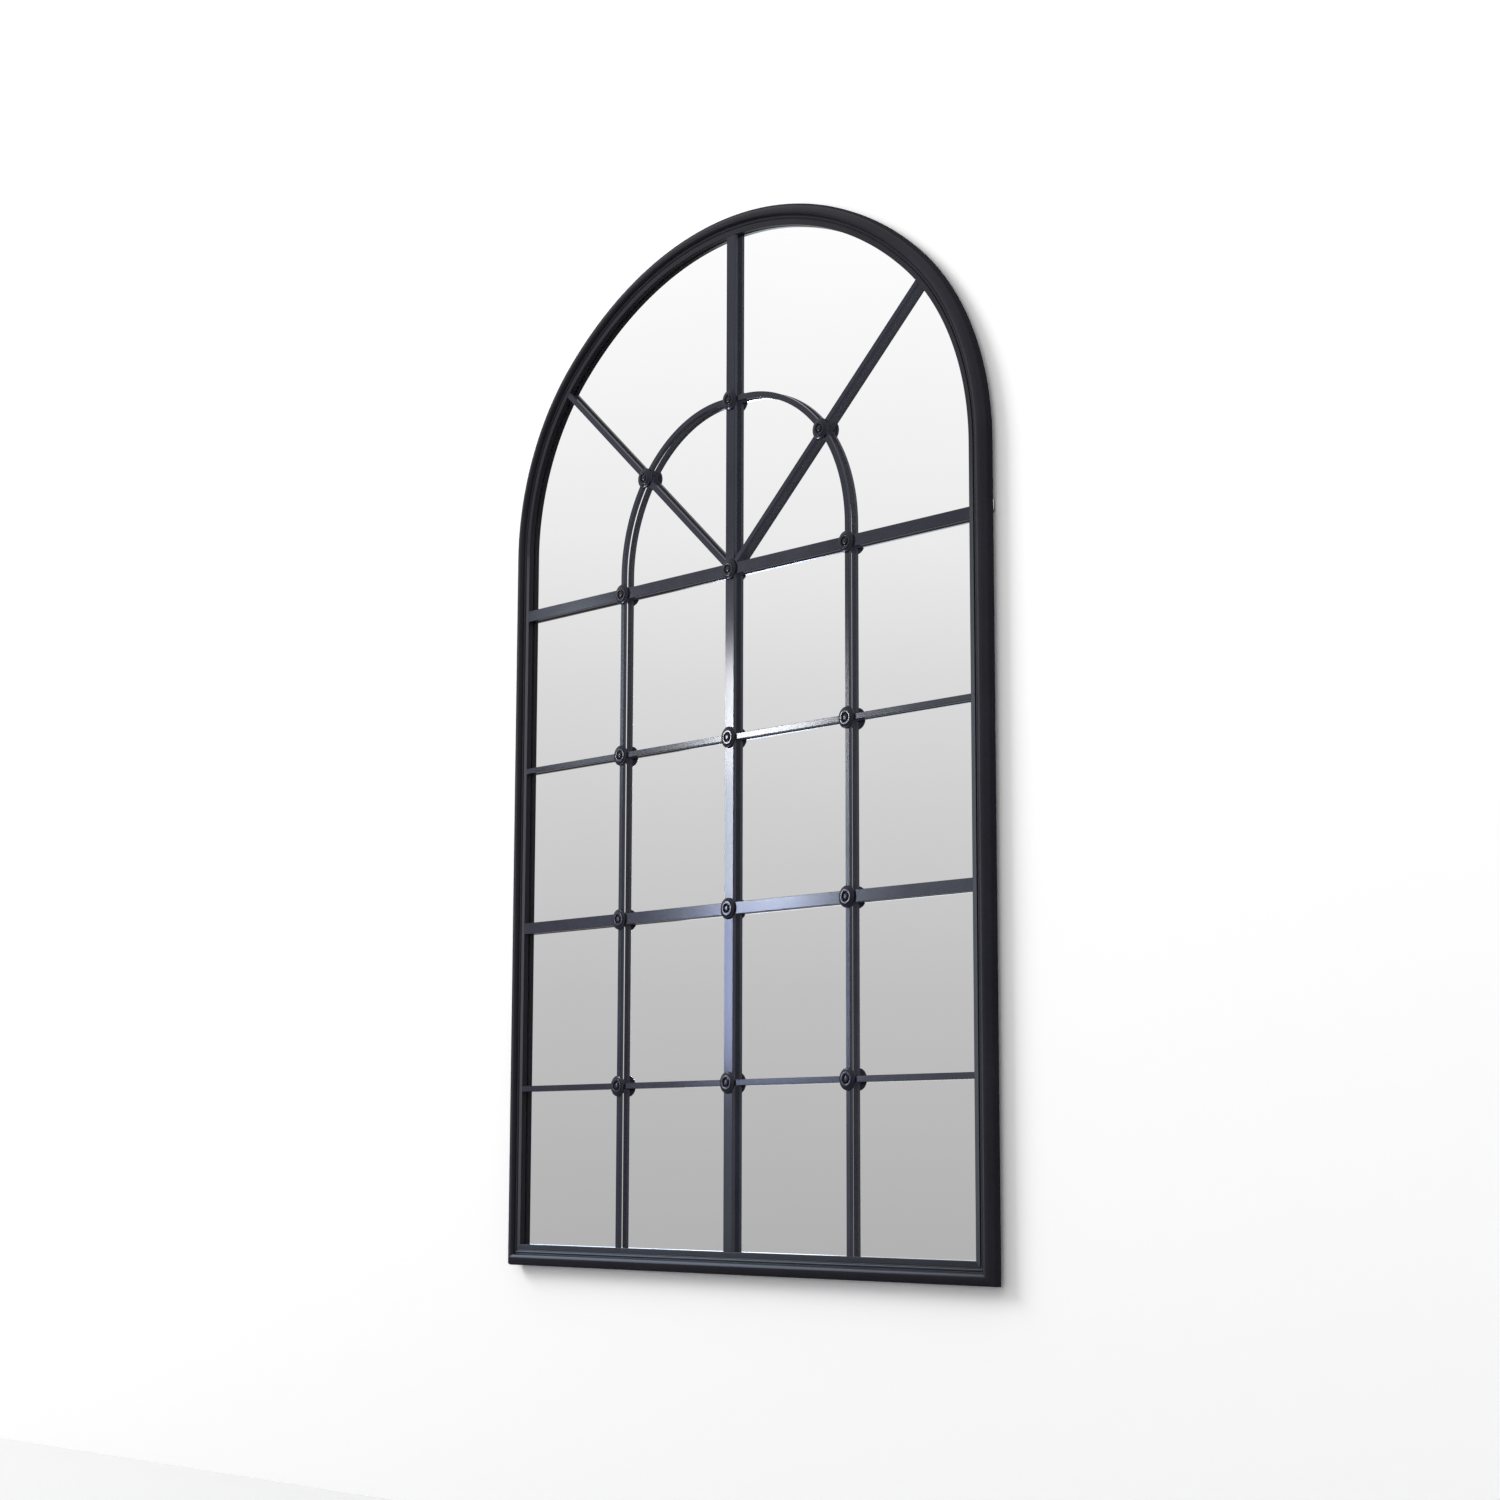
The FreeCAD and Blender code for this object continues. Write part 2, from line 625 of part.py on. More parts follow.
def cross_bar(name, height, width):
    """Level bar between the sight edges of the stiles."""
    body = new_body(name)
    section = new_sketch(body, f"{name}_section", "YZ_Plane")
    bar_section(section, width, lambda z, depth: (f"-({depth})", f"({height} + {z})"))
    pad(body, section, f"2 * {HALF_SIGHT}", both_ways=True)
    return body


ARCH_FLAT_END = "(sizes.bar_pitch - sizes.arch_radius)"
ARCH_TOP = "(sizes.arch_springing + sizes.arch_radius)"


def arch_bend(body, side, sign):
    """Quarter bend of the inner arch on one side."""
    section = new_sketch(body, f"arch_section_{side}", "XY_Plane", "sizes.arch_springing")
    bar_section(section, "sizes.narrow_bar_width",
                lambda x, depth: (f"({sign} * sizes.bar_pitch + {x})", f"-({depth})"))
    middle = f"({sign} * {ARCH_FLAT_END})"
    axis_line(section, (middle, "0"), (middle, "sizes.bar_pitch"))
    revolve(body, section, "Axis0", "90", backward=sign > 0)


def inner_arch_bar():
    """Two quarter bends with a short straight between them, carrying on the side bars."""
    body = new_body("inner_arch_bar")
    arch_bend(body, "right", 1)
    straight = new_sketch(body, "arch_straight", "YZ_Plane")
    bar_section(straight, "sizes.narrow_bar_width",
                lambda z, depth: (f"-({depth})", f"({ARCH_TOP} + {z})"))
    pad(body, straight, f"2 * {ARCH_FLAT_END}", both_ways=True)
    arch_bend(body, "left", -1)
    return body


def diagonal_bar():
    """Bar that radiates from the middle crossing, trimmed to what it meets."""
    body = new_body("diagonal_strip")
    section = new_sketch(body, "diagonal_section", "YZ_Plane")
    bar_section(section, "sizes.narrow_bar_width", lambda z, depth: (f"-({depth})", z))
    pad(body, section, "sizes.overall_width")
    body.Placement.Rotation = Rotation(Vector(0, 1, 0), -value("sizes.diagonal_angle"))
    inside = arched_sheet("sight_field", BAR_BACK, "sizes.bar_thickness", "-sizes.weld_gap")
    corner = doc.addObject("Part::Box", "diagonal_corner")
    corner.setExpression("Length", "sizes.overall_width")
    corner.setExpression("Width", BAND_FRONT)
    corner.setExpression("Height", "sizes.overall_width")
    corner.setExpression("Placement.Base.x", "sizes.centre_bar_width / 2")
    corner.setExpression("Placement.Base.y", f"-{BAND_FRONT}")
    corner.setExpression("Placement.Base.z", "sizes.wide_bar_width / 2")
    return combine("MultiCommon", "diagonal_full", Shapes=[body, inside, corner])


def half_depth(name, back):
    """Slab over the front or the back half of all the bars."""
    slab = doc.addObject("Part::Box", name)
    slab.setExpression("Length", "2 * sizes.overall_width")
    slab.setExpression("Width", "sizes.bar_thickness / 2")
    slab.setExpression("Height", "4 * sizes.base_drop")
    slab.setExpression("Placement.Base.x", "-sizes.overall_width")
    slab.setExpression("Placement.Base.y", f"-({back} + sizes.bar_thickness / 2)")
    slab.setExpression("Placement.Base.z", "-2 * sizes.base_drop")
    return slab


def rosette_places():
    """Crossings: three columns by four rows, and three on the inner arch."""
    pitch = value("sizes.bar_pitch")
    places = {}
    for row in range(4):
        for column, name in ((-1, "left"), (0, "centre"), (1, "right")):
            places[f"rosette_row{row + 1}_{name}"] = Vector(column * pitch, 0, -row * pitch)
    radius = value("sizes.arch_radius")
    springing = value("sizes.arch_springing")
    turn = outward(value("sizes.diagonal_angle"))
    bend_centre = Vector(pitch - radius, 0, springing)
    nearest = turn.dot(bend_centre)
    reach = nearest + math.sqrt(nearest ** 2 + radius ** 2 - bend_centre.Length ** 2)
    for name, side in (("left", -1), ("right", 1)):
        places[f"rosette_arch_{name}"] = Vector(side * reach * turn.x, 0, reach * turn.z)
    places["rosette_arch_top"] = Vector(0, 0, springing + radius)
    return places


ROSETTES = rosette_places()


def stud_drilling():
    """Holes through the crossings for the studs of the rosettes."""
    holes = []
    for name, place in ROSETTES.items():
        hole = doc.addObject("Part::Cylinder", f"{name}_hole")
        hole.setExpression("Radius", "sizes.stud_radius + sizes.stud_clearance")
        hole.setExpression("Height", BAND_FRONT)
        hole.Placement = Placement(place, Rotation(Vector(1, 0, 0), 90))
        holes.append(hole)
    return holes


BAR_BOTTOM = f"-{SIGHT_DROP}"
centre_full = upright("centre_full", "0", "sizes.centre_bar_width", BAR_BOTTOM,
                      f"{CROWN_Z} + {CROWN_RADIUS} - sizes.weld_gap")
side_full = upright("side_full", "sizes.bar_pitch", "sizes.narrow_bar_width", BAR_BOTTOM,
                    "sizes.arch_springing")
diagonal_full = diagonal_bar()
arch_full = inner_arch_bar()
cross_full = []
for row in range(4):
    width = "sizes.wide_bar_width" if row % 2 == 0 else "sizes.narrow_bar_width"
    cross_full.append(cross_bar(f"cross_full_{row + 1}", f"(-{row} * sizes.bar_pitch)", width))

# Uprights and diagonals keep their back half at a crossing, level bars and the arch the front.
studs = stud_drilling()
front_half = half_depth("front_half", BAR_MIDDLE)
back_half = half_depth("back_half", BAR_BACK)
level_bars = combine("MultiFuse", "level_bars", Shapes=cross_full + [arch_full])
level_fronts = combine("MultiCommon", "level_fronts", Shapes=[level_bars, front_half])
upright_tool = combine("MultiFuse", "upright_tool", Shapes=[level_fronts] + studs)
left_side_full = mirrored(side_full, "left_side_full")
left_diagonal_full = mirrored(diagonal_full, "left_diagonal_full")
upright_bars = combine("MultiFuse", "upright_bars", Shapes=[
    centre_full, side_full, left_side_full, diagonal_full, left_diagonal_full])
upright_backs = combine("MultiCommon", "upright_backs", Shapes=[upright_bars, back_half])
level_tool = combine("MultiFuse", "level_tool", Shapes=[upright_backs] + studs)

node(combine("Cut", "bar_centre", Base=centre_full, Tool=upright_tool), "bar_centre")
side_bar = node(combine("Cut", "bar_side_right", Base=side_full, Tool=upright_tool),
                "bar_side_right")
node(mirrored(side_bar, "bar_side_left"), "bar_side_left")
diagonal = node(combine("Cut", "bar_diagonal_right", Base=diagonal_full, Tool=upright_tool),
                "bar_diagonal_right")
node(mirrored(diagonal, "bar_diagonal_left"), "bar_diagonal_left")
node(combine("Cut", "bar_inner_arch", Base=arch_full, Tool=level_tool), "bar_inner_arch")
for row, full in enumerate(cross_full, start=1):
    node(combine("Cut", f"bar_cross_{row}", Base=full, Tool=level_tool), f"bar_cross_{row}")


# --- Rosettes: turned buttons over the crossings, riveted through them by a stud -------------

def rosette(name, place):
    """Rim, raised ring, hollow and button, with the stud behind."""
    body = new_body(name)
    section = new_sketch(body, f"{name}_section", "XY_Plane")
    ring_half = "((sizes.ridge_radius - sizes.hollow_radius) / 2)"
    rim_front = f"-({BAND_FRONT} + sizes.rosette_edge)"
    outline(section, [
        ("0", f"-{BAR_BACK}"),
        ("0", f"-({BAND_FRONT} + sizes.dome_height)", "1.6 * sizes.dome_radius"),
        ("sizes.dome_radius", f"-({BAND_FRONT} + sizes.hollow_height)"),
        ("sizes.hollow_radius", f"-({BAND_FRONT} + sizes.hollow_height)"),
        (f"(sizes.hollow_radius + {ring_half} / 2)", f"-({BAND_FRONT} + sizes.ridge_height)",
         f"2 * {ring_half}"),
        ("sizes.ridge_radius", f"-({BAND_FRONT} + sizes.ridge_height - {ring_half} / 2)"),
        ("(sizes.rosette_radius - sizes.rosette_edge / 2)", rim_front,
         "0.8 * sizes.rosette_edge"),
        ("sizes.rosette_radius", f"-({BAND_FRONT} + sizes.rosette_edge / 3)"),
        ("sizes.rosette_radius", f"-{BAND_FRONT}"),
        ("sizes.stud_radius", f"-{BAND_FRONT}"),
        ("sizes.stud_radius", f"-{BAR_BACK}"),
    ])
    revolve(body, section, "V_Axis", "360")
    body.Placement.Base = place
    return body


for rosette_name, rosette_place in ROSETTES.items():
    node(rosette(rosette_name, rosette_place), rosette_name)


# --- Fasteners and plates on the back ----------------------------------------------------

def pan_head_screw():
    """Pan head screw, drawn with the underside of its head at the origin, shank toward -Y."""
    radius = value("sizes.screw_radius")
    length = value("sizes.screw_length")
    head_radius = value("sizes.head_radius")
    head_height = value("sizes.head_height")
    profile = Part.Wire([
        Part.LineSegment(Vector(0, -length, 0), Vector(radius, -length + radius, 0)).toShape(),
        Part.LineSegment(Vector(radius, -length + radius, 0), Vector(radius, 0, 0)).toShape(),
        Part.LineSegment(Vector(radius, 0, 0), Vector(head_radius, 0, 0)).toShape(),
        Part.Arc(Vector(head_radius, 0, 0),
                 Vector(head_radius * 0.86, head_height * 0.72, 0),
                 Vector(head_radius * 0.5, head_height, 0)).toShape(),
        Part.LineSegment(Vector(head_radius * 0.5, head_height, 0),
                         Vector(0, head_height, 0)).toShape(),
        Part.LineSegment(Vector(0, head_height, 0), Vector(0, -length, 0)).toShape(),
    ])
    screw = Part.Face(profile).revolve(Vector(0, 0, 0), Vector(0, 1, 0), 360)
    slot = Part.makeBox(head_radius * 2, head_height / 2, head_radius / 4,
                        Vector(-head_radius, head_height / 2, -head_radius / 8))
    cross = slot.copy()
    cross.rotate(Vector(0, 0, 0), Vector(0, 1, 0), 90)
    recess = slot.fuse(cross).common(Part.makeCylinder(
        head_radius * 0.6, head_height, Vector(0, 0, 0), Vector(0, 1, 0)))
    return screw.cut(recess)


SCREW = pan_head_screw()


def screw_group(name, places, seat):
    """The screws of one kind of fitting, each its own solid in one node."""
    group = doc.addObject("Part::Feature", name)
    depth = WALL_GAP_MM - seat
    group.Shape = Part.makeCompound([set_on(SCREW, place, depth) for place in places])
    return node(group, name)


def retaining_clips():
    """Spring steel plates across the flange and the edge of the board."""
    length = value("sizes.clip_length")
    width = value("sizes.clip_width")
    gauge = value("sizes.clip_gauge")
    start = value("sizes.glass_lap - sizes.clip_reach")
    blank = Part.makeBox(length, gauge, width, Vector(0, 0, -width / 2))
    long_edges = [edge for edge in blank.Edges if abs(edge.tangentAt(0).y) > 0.9]
    clip = blank.makeFillet(width * 0.2, long_edges)
    group = doc.addObject("Part::Feature", "clip_blanks")
    group.Shape = Part.makeCompound([set_on(clip, place, WALL_GAP_MM)
                                     for place in clip_places(start)])
    return drilled(group, "retaining_clips")


def corner_bracket():
    """Flat angle over the back of a mitre."""
    body = new_body("corner_bracket_blank")
    face = new_sketch(body, "bracket_outline", "XZ_Plane",
                      "sizes.wall_gap - sizes.plate_gauge")
    half = "(sizes.plate_width / 2)"
    outer_x = f"({HALF_SIGHT} + {FLANGE_MIDDLE} + {half})"
    inner_x = f"({HALF_SIGHT} + {FLANGE_MIDDLE} - {half})"
    outer_z = f"-({SIGHT_DROP} + {FLANGE_MIDDLE} + {half})"
    inner_z = f"-({SIGHT_DROP} + {FLANGE_MIDDLE} - {half})"
    top = f"({outer_z} + sizes.plate_length)"
    left = f"({outer_x} - sizes.plate_length)"
    outline(face, [(outer_x, outer_z), (outer_x, top), (inner_x, top), (inner_x, inner_z),
                   (left, inner_z), (left, outer_z)])
    pad(body, face, "sizes.plate_gauge")
    return body


def splice_plate(name, place):
    """Flat plate over a butt joint of the head."""
    body = new_body(name)
    face = new_sketch(body, f"{name}_outline", "XZ_Plane", "sizes.wall_gap - sizes.plate_gauge")
    across = "(sizes.plate_width / 2)"
    lengthwise = "(sizes.plate_length / 2)"
    outline(face, [(f"-{across}", f"-{lengthwise}"), (across, f"-{lengthwise}"),
                   (across, lengthwise), (f"-{across}", lengthwise)])
    pad(body, face, "sizes.plate_gauge")
    point, degrees = place
    body.Placement = Placement(point, Rotation(Vector(0, 1, 0), -degrees))
    return body


node(retaining_clips(), "retaining_clips")
screw_group("clip_screws", CLIP_SCREWS, value("sizes.clip_gauge"))
bracket = node(drilled(corner_bracket(), "corner_bracket_right"), "corner_bracket_right")
node(mirrored(bracket, "corner_bracket_left"), "corner_bracket_left")
screw_group("bracket_screws", CORNER_SCREWS, value("sizes.plate_gauge"))
for level, splice_place in splice_places().items():
    blank_plate = splice_plate(f"splice_blank_{level}", splice_place)
    plate = node(drilled(blank_plate, f"splice_plate_{level}_right"),
                 f"splice_plate_{level}_right")
    node(mirrored(plate, f"splice_plate_{level}_left"), f"splice_plate_{level}_left")
screw_group("splice_screws", SPLICE_SCREWS, value("sizes.plate_gauge"))


# --- Hangers: a strap folded round the wire of a ring that swings up to the wall hook ---------

KNUCKLE_RADIUS = "(sizes.ring_wire_radius + sizes.pivot_clearance + sizes.strap_gauge)"
PIVOT_DEPTH = f"(sizes.wall_gap - {KNUCKLE_RADIUS})"
HANGER_X = f"({HALF_SIGHT} + sizes.hanger_inset)"


def hanger_strap():
    """Strap doubled under the pivot and rolled into a knuckle round the wire."""
    body = new_body("strap_blank")
    side = new_sketch(body, "strap_side", "YZ_Plane", HANGER_X)
    back = "-sizes.wall_gap"
    face = "-(sizes.wall_gap - 2 * sizes.strap_gauge)"
    foot = "-sizes.strap_length"
    outline(side, [(back, foot), (face, foot), (face, "0"), (back, "0")])
    pad(body, side, "sizes.strap_width", both_ways=True)
    knuckle = new_sketch(body, "strap_knuckle", "YZ_Plane", HANGER_X)
    add_circle(knuckle, f"-{PIVOT_DEPTH}", "0", KNUCKLE_RADIUS)
    roll = pad(body, knuckle, "sizes.strap_width", both_ways=True)
    roll.Label = "strap_roll"
    bore = new_sketch(body, "strap_bore", "YZ_Plane", HANGER_X)
    add_circle(bore, f"-{PIVOT_DEPTH}", "0", "sizes.ring_wire_radius + sizes.pivot_clearance")
    cut_through(body, bore)
    return body


def add_circle(sketch, x, y, radius):
    """A full circle held at formulas."""
    centre = Vector(value(x), value(y), 0)
    circle = sketch.addGeometry(Part.Circle(centre, Vector(0, 0, 1), value(radius)))
    pin(sketch, circle, 3, x, y)
    held = sketch.addConstraint(Sketcher.Constraint("Radius", circle, value(radius)))
    sketch.setExpression(f"Constraints[{held}]", radius)


def hanger_ring(name):
    """Closed loop of round wire: pivot, two bends, two legs and a half round top."""
    wire = value("sizes.ring_wire_radius")
    bend = value("sizes.ring_bend_radius")
    half = value("sizes.ring_opening_width / 2") + wire
    top_radius = half
    leg_top = value("sizes.ring_opening_height") + 2 * wire - top_radius

    def straight(start, end):
        return Part.makeCylinder(wire, (end - start).Length, start, end - start)

    def bent(centre, radius, start, sweep):
        tip = centre + outward(start) * radius
        heading = outward(start + 90)
        disc = Part.Face(Part.Wire(Part.Circle(tip, heading, wire).toShape()))
        return disc.revolve(centre, Vector(0, -1, 0), sweep)

    parts = [straight(Vector(bend - half, 0, 0), Vector(half - bend, 0, 0)),
             straight(Vector(half, 0, bend), Vector(half, 0, leg_top)),
             straight(Vector(-half, 0, bend), Vector(-half, 0, leg_top)),
             bent(Vector(half - bend, 0, bend), bend, -90, 90),
             bent(Vector(bend - half, 0, bend), bend, 180, 90),
             bent(Vector(0, 0, leg_top), top_radius, 0, 180)]
    loop = parts[0].fuse(parts[1:]).removeSplitter()
    ring = doc.addObject("Part::Feature", name)
    ring.Shape = loop
    return ring


def place_ring(ring, side):
    """Set the ring in its knuckle, leaning back on the frame."""
    point, _ = hanger_place(side)
    lean = Rotation(Vector(1, 0, 0), value("sizes.ring_lean"))
    ring.Placement = Placement(point + Vector(0, -value(PIVOT_DEPTH), 0), lean)


strap = node(drilled(hanger_strap(), "hanger_strap_right"), "hanger_strap_right")
node(mirrored(strap, "hanger_strap_left"), "hanger_strap_left")
screw_group("hanger_screws", HANGER_SCREWS, value("2 * sizes.strap_gauge"))
for side_name, side_sign in (("right", 1), ("left", -1)):
    hanger = hanger_ring(f"hanger_ring_{side_name}")
    place_ring(hanger, side_sign)
    node(hanger, f"hanger_ring_{side_name}")


# --- Wall bumpers: rubber buttons that hold the frame off the wall --------------------------

def wall_bumper(name, place):
    """Rubber button from the flange to the wall."""
    bumper = doc.addObject("Part::Cone", name)
    bumper.setExpression("Radius1", "sizes.bumper_radius * 0.86")
    bumper.setExpression("Radius2", "sizes.bumper_radius")
    bumper.setExpression("Height", "sizes.wall_gap")
    point, _ = place
    bumper.Placement = Placement(point, Rotation(Vector(1, 0, 0), 90))
    return node(bumper, name)


LOWER_BUMPER = on_rail(value(f"{HALF_WIDTH} - sizes.bumper_from_corner"), FLANGE_MIDDLE_MM)
UPPER_BUMPER = on_arc(CROWN_CENTRE, CROWN_RADIUS_MM, 90 - value("sizes.bumper_turn"),
                      FLANGE_MIDDLE_MM)
for level, right_place in (("lower", LOWER_BUMPER), ("upper", UPPER_BUMPER)):
    for side_name, bumper_place in zip(("right", "left"), both_sides(right_place)):
        wall_bumper(f"wall_bumper_{level}_{side_name}", bumper_place)


# --- Check and write ----------------------------------------------------------------------

doc.recompute()
failed = [item.Name for item in doc.Objects
          if {"Invalid", "Error"} & set(item.State)]
if failed:
    raise RuntimeError(f"objects that failed: {failed}")
for piece in nodes:
    if piece.Shape.isNull() or not piece.Shape.isValid() or not piece.Shape.Solids:
        raise RuntimeError(f"bad shape: {piece.Label}")

os.makedirs("parts", exist_ok=True)
for piece in nodes:
    piece.Shape.exportStep(os.path.join("parts", f"{piece.Label}.step"))

top_of_frame = value(f"{CROWN_Z} + {CROWN_RADIUS} + sizes.moulding_width")
print(f"{len(nodes)} nodes, overall height {top_of_frame + value('sizes.base_drop'):.1f} mm")
for piece in nodes:
    box = piece.Shape.BoundBox
    print(f"{piece.Label:26s} solids {len(piece.Shape.Solids):2d} volume {piece.Shape.Volume:10.0f}"
          f"  x {box.XMin:.1f} {box.XMax:.1f}  y {box.YMin:.1f} {box.YMax:.1f}"
          f"  z {box.ZMin:.1f} {box.ZMax:.1f}")
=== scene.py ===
import json
import math

import bpy
import numpy as np
from mathutils import Matrix, Vector


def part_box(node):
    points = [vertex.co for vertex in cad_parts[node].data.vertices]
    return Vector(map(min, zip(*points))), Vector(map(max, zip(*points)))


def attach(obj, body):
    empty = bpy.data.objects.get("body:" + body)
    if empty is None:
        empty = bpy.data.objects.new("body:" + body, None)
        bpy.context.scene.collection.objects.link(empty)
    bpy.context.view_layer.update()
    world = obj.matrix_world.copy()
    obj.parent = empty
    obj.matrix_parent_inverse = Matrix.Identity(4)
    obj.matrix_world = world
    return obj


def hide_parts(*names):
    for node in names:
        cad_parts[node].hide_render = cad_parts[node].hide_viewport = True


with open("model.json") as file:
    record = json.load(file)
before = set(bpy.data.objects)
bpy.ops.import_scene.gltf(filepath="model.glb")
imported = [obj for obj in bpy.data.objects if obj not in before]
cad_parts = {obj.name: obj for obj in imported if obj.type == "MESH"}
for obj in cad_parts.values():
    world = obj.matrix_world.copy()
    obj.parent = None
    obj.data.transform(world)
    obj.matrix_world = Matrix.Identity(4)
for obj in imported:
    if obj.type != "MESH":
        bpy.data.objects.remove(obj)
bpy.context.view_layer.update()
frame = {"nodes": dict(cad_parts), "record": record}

MILLIMETRE = 0.001


# --- The room -----------------------------------------------------------------------------
# A white wall that the mirror hangs on, clear when looked at from behind, a pale floor well
# below it, and even studio light. The camera sees both paler than the light that goes round
# in the room does, which keeps the wall white and the undersides dark.

class Reading:
    """A number or colour that a node gives; sums written with it become Math nodes."""

    def __init__(self, finish, socket):
        self.finish = finish
        self.socket = socket

    def beside(self, output):
        """Another output of the same node."""
        return Reading(self.finish, self.socket.node.outputs[output])

    def sum_with(self, operation, first, second):
        """A Math node with this reading on one of its two sides."""
        return self.finish.add("ShaderNodeMath", {"operation": operation}, {0: first, 1: second})

    def __add__(self, other):
        return self.sum_with("ADD", self, other)

    def __radd__(self, other):
        return self.sum_with("ADD", other, self)

    def __sub__(self, other):
        return self.sum_with("SUBTRACT", self, other)

    def __rsub__(self, other):
        return self.sum_with("SUBTRACT", other, self)

    def __mul__(self, other):
        return self.sum_with("MULTIPLY", self, other)

    def __rmul__(self, other):
        return self.sum_with("MULTIPLY", other, self)


class Finish:
    """The nodes of one material or of the world, added one by one."""

    def __init__(self, owner):
        owner.use_nodes = True
        self.owner = owner
        self.tree = owner.node_tree
        self.tree.nodes.clear()

    def add(self, kind, settings=None, sockets=None, output=0):
        """Adds a node: its settings first, then the values or links of its sockets."""
        node = self.tree.nodes.new(kind)
        for name, choice in (settings or {}).items():
            if name == "stops":
                self.set_stops(node.color_ramp, choice)
            else:
                setattr(node, name, choice)
        for name, content in (sockets or {}).items():
            if isinstance(content, Reading):
                self.tree.links.new(content.socket, node.inputs[name])
            else:
                node.inputs[name].default_value = content
        return Reading(self, node.outputs[output]) if node.outputs else None

    @staticmethod
    def set_stops(ramp, stops):
        """Gives a colour ramp its stops, a list of (position, grey or colour)."""
        while len(ramp.elements) < len(stops):
            ramp.elements.new(0.5)
        for element, (position, shade) in zip(ramp.elements, stops):
            colour = (shade, shade, shade) if isinstance(shade, float) else shade
            element.position = position
            element.color = (*colour, 1.0)

    def sine(self, angle):
        """The sine of a reading, in radians."""
        return self.add("ShaderNodeMath", {"operation": "SINE"}, {0: angle})

    def coat(self, **sockets):
        """Ends a material with one surface shader; names use _ for the spaces in a socket's name."""
        named = {name.replace("_", " "): content for name, content in sockets.items()}
        surface = self.add("ShaderNodeBsdfPrincipled", None, named)
        self.add("ShaderNodeOutputMaterial", None, {"Surface": surface})
        return self.owner


world = bpy.data.worlds.new("studio")
bpy.context.scene.world = world
sky = Finish(world)
direction = sky.add("ShaderNodeTexCoord", output="Generated")
rise = sky.add("ShaderNodeSeparateXYZ", None, {"Vector": direction}, "Z")
# What the glass shows of the room: mid grey at eye level, paler towards the ceiling.
HORIZON_STOP = 0.3
seen_in_glass = sky.add("ShaderNodeValToRGB", {"stops": [
    (0.0, 0.40), (0.27, 0.435), (0.36, 0.517), (0.41, 0.59), (0.467, 0.685), (0.518, 0.811),
    (0.622, 0.96), (0.72, 1.0)]}, {"Fac": rise + HORIZON_STOP})
ray = sky.add("ShaderNodeLightPath", output="Is Camera Ray")
even_light = sky.add("ShaderNodeBackground", None, {"Color": (1, 1, 1, 1), "Strength": 0.755})
room = sky.add("ShaderNodeBackground", None, {"Color": seen_in_glass, "Strength": 1.1})
paper = sky.add("ShaderNodeBackground", None, {"Color": (1, 1, 1, 1), "Strength": 1.0})
lit = sky.add("ShaderNodeMixShader", None, {0: ray.beside("Is Glossy Ray"), 1: even_light, 2: room})
shown = sky.add("ShaderNodeMixShader", None, {0: ray, 1: lit, 2: paper})
sky.add("ShaderNodeOutputWorld", None, {"Surface": shown})


def flat_sheet(name, corners):
    """A four-cornered sheet; its corners go round so that the normal faces the room."""
    mesh = bpy.data.meshes.new(name)
    mesh.from_pydata(corners, [], [(0, 1, 2, 3)])
    sheet = bpy.data.objects.new(name, mesh)
    bpy.context.scene.collection.objects.link(sheet)
    return sheet


WALL_REACH = 4.0
WALL_TOP = 3.0
FLOOR_LEVEL = -1.62
FLOOR_REACH = 5.0

wall = flat_sheet("studio_wall", [(-WALL_REACH, 0, FLOOR_LEVEL), (WALL_REACH, 0, FLOOR_LEVEL),
                                  (WALL_REACH, 0, WALL_TOP), (-WALL_REACH, 0, WALL_TOP)])
wall_finish = Finish(bpy.data.materials.new("wall_paint"))
wall_ray = wall_finish.add("ShaderNodeLightPath", output="Is Glossy Ray")
white = wall_finish.add("ShaderNodeBsdfDiffuse", None, {"Color": (0.92, 0.92, 0.92, 1)})
dusk = wall_finish.add("ShaderNodeBsdfDiffuse", None, {"Color": (0.10, 0.10, 0.11, 1)})
paper_white = wall_finish.add("ShaderNodeBsdfDiffuse", None, {"Color": (1.29, 1.29, 1.29, 1)})
thrown = wall_finish.add("ShaderNodeMixShader", None, {0: wall_ray, 1: white, 2: dusk})
coated = wall_finish.add("ShaderNodeMixShader", None, {
    0: wall_ray.beside("Is Camera Ray"), 1: thrown, 2: paper_white})
# A look that comes through the wall from behind finds it clear on the way back as well, so
# that the back of the mirror gets its light.
from_behind = wall_finish.add("ShaderNodeNewGeometry", output="Backfacing")
let_through = wall_finish.add("ShaderNodeMath", {"operation": "ADD", "use_clamp": True}, {
    0: from_behind, 1: wall_ray.beside("Transparent Depth")})
nothing = wall_finish.add("ShaderNodeBsdfTransparent")
wall_coat = wall_finish.add("ShaderNodeMixShader", None, {0: let_through, 1: coated, 2: nothing})
wall_finish.add("ShaderNodeOutputMaterial", None, {"Surface": wall_coat})
wall.data.materials.append(wall_finish.owner)

